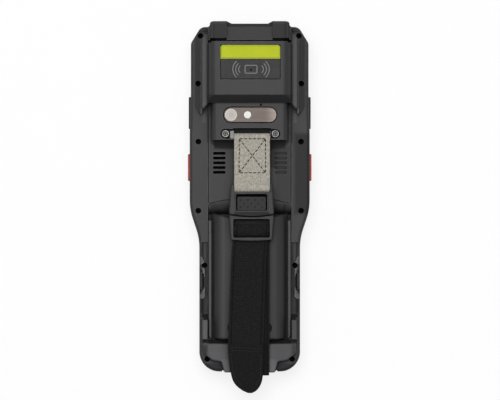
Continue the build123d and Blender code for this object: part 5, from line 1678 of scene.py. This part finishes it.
@dataclass
class Studio:
    """The swept paper backdrop, the lamps, the sky and the camera, in metres."""

    distance: float = 4.0
    camera_height: float = 4.02
    field_width: float = 0.300
    middle: Plan = (0.00018, -0.0018)
    sensor: float = 36.0
    sight: float = 50.0
    floor_radius: float = 4.5
    sweep_radius: float = 1.2
    sweep_steps: int = 8
    floor_steps: int = 48
    wall_height: float = 1.9
    paper: float = 0.20
    glow: float = 0.80
    sky_span: Plan = (0.1, 0.95)
    sky_light: Plan = (0.07, 0.34)
    lamps: tuple[Lamp, ...] = (
        Lamp("top_lamp", (-0.12, 0.45, 2.2), (1.2, 1.2), 40.0),
        Lamp("left_lamp", (-1.7, -0.2, 0.45), (0.5, 0.9), 1.3),
        Lamp("right_lamp", (1.7, -0.2, 0.45), (0.5, 0.9), 0.9),
    )

    def build(self) -> None:
        """Set the backdrop, the sky, the lamps and the camera."""
        self.backdrop()
        self.sky()
        for lamp in self.lamps:
            lamp.light()
        self.camera()
        bpy.context.scene.view_settings.view_transform = "Standard"

    def backdrop(self) -> None:
        """Make the round paper floor, which sweeps up into a wall all round."""
        form = Form()
        bm = form.bm
        radius, sweep = self.floor_radius, self.sweep_radius
        line = [(0.0, 0.0), (radius, 0.0)]
        for step in range(1, self.sweep_steps + 1):
            turn = math.radians(90.0 * step / self.sweep_steps)
            line.append((radius + sweep * math.sin(turn), sweep * (1 - math.cos(turn))))
        line.append((radius + sweep, self.wall_height))
        verts = [bm.verts.new((x, 0.0, z)) for x, z in line]
        edges = [bm.edges.new(pair) for pair in zip(verts, verts[1:])]
        bmesh.ops.spin(
            bm, geom=[*verts, *edges], cent=(0, 0, 0), axis=(0, 0, 1), angle=2 * math.pi,
            steps=self.floor_steps, use_merge=True,
        )
        made = Graph("backdrop_paper")
        fibre = made.span(made.noise(40.0), *NOISE, self.paper * 0.985, self.paper)
        seen: Value = 0.0
        path = made.add("LightPath")
        for ray in ("Is Camera Ray", "Is Glossy Ray", "Is Transmission Ray"):
            seen = made.math("MAXIMUM", seen, path.outputs[ray])
        made.set(
            Base_Color=fibre,
            Roughness=0.9,
            Specular_IOR_Level=0.0,
            Emission_Color=(1.0, 1.0, 1.0),
            Emission_Strength=made.times(seen, self.glow),
        )
        form.done("backdrop", made.material)

    def sky(self) -> None:
        """Set the sky, brighter overhead than at the horizon."""
        world = bpy.data.worlds.new("studio")
        bpy.context.scene.world = world
        world.use_nodes = True
        tree = world.node_tree
        background = tree.nodes["Background"]
        background.inputs["Color"].default_value = (1.0, 1.0, 1.0, 1.0)
        coords = tree.nodes.new("ShaderNodeTexCoord")
        parts = tree.nodes.new("ShaderNodeSeparateXYZ")
        ramp = tree.nodes.new("ShaderNodeMapRange")
        names = ("From Min", "From Max", "To Min", "To Max")
        for name, value in zip(names, (*self.sky_span, *self.sky_light)):
            ramp.inputs[name].default_value = value
        tree.links.new(coords.outputs["Generated"], parts.inputs[0])
        tree.links.new(parts.outputs["Z"], ramp.inputs["Value"])
        tree.links.new(ramp.outputs[0], background.inputs["Strength"])

    def camera(self) -> None:
        """Add the camera, which looks straight down on the back."""
        data = bpy.data.cameras.new("camera")
        data.sensor_width = self.sensor
        data.lens = self.sensor * self.distance / self.field_width
        data.clip_end = self.sight
        camera = show(bpy.data.objects.new("camera", data))
        camera.location = (*self.middle, self.camera_height)
        bpy.context.scene.camera = camera


def main() -> None:
    """Build the terminal, one sub-assembly after the other."""
    logging.basicConfig(level=logging.INFO, format="%(name)s: %(message)s")
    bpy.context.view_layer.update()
    Studio().build()
    assemblies = (
        Housing, ScannerHead, CameraPlate, Battery, HandStrap, Buckle, Ports, Keys, Display
    )
    for assembly in assemblies:
        LOG.info("building %s", assembly.__name__)
        assembly().build()


if __name__ == "__main__":
    main()
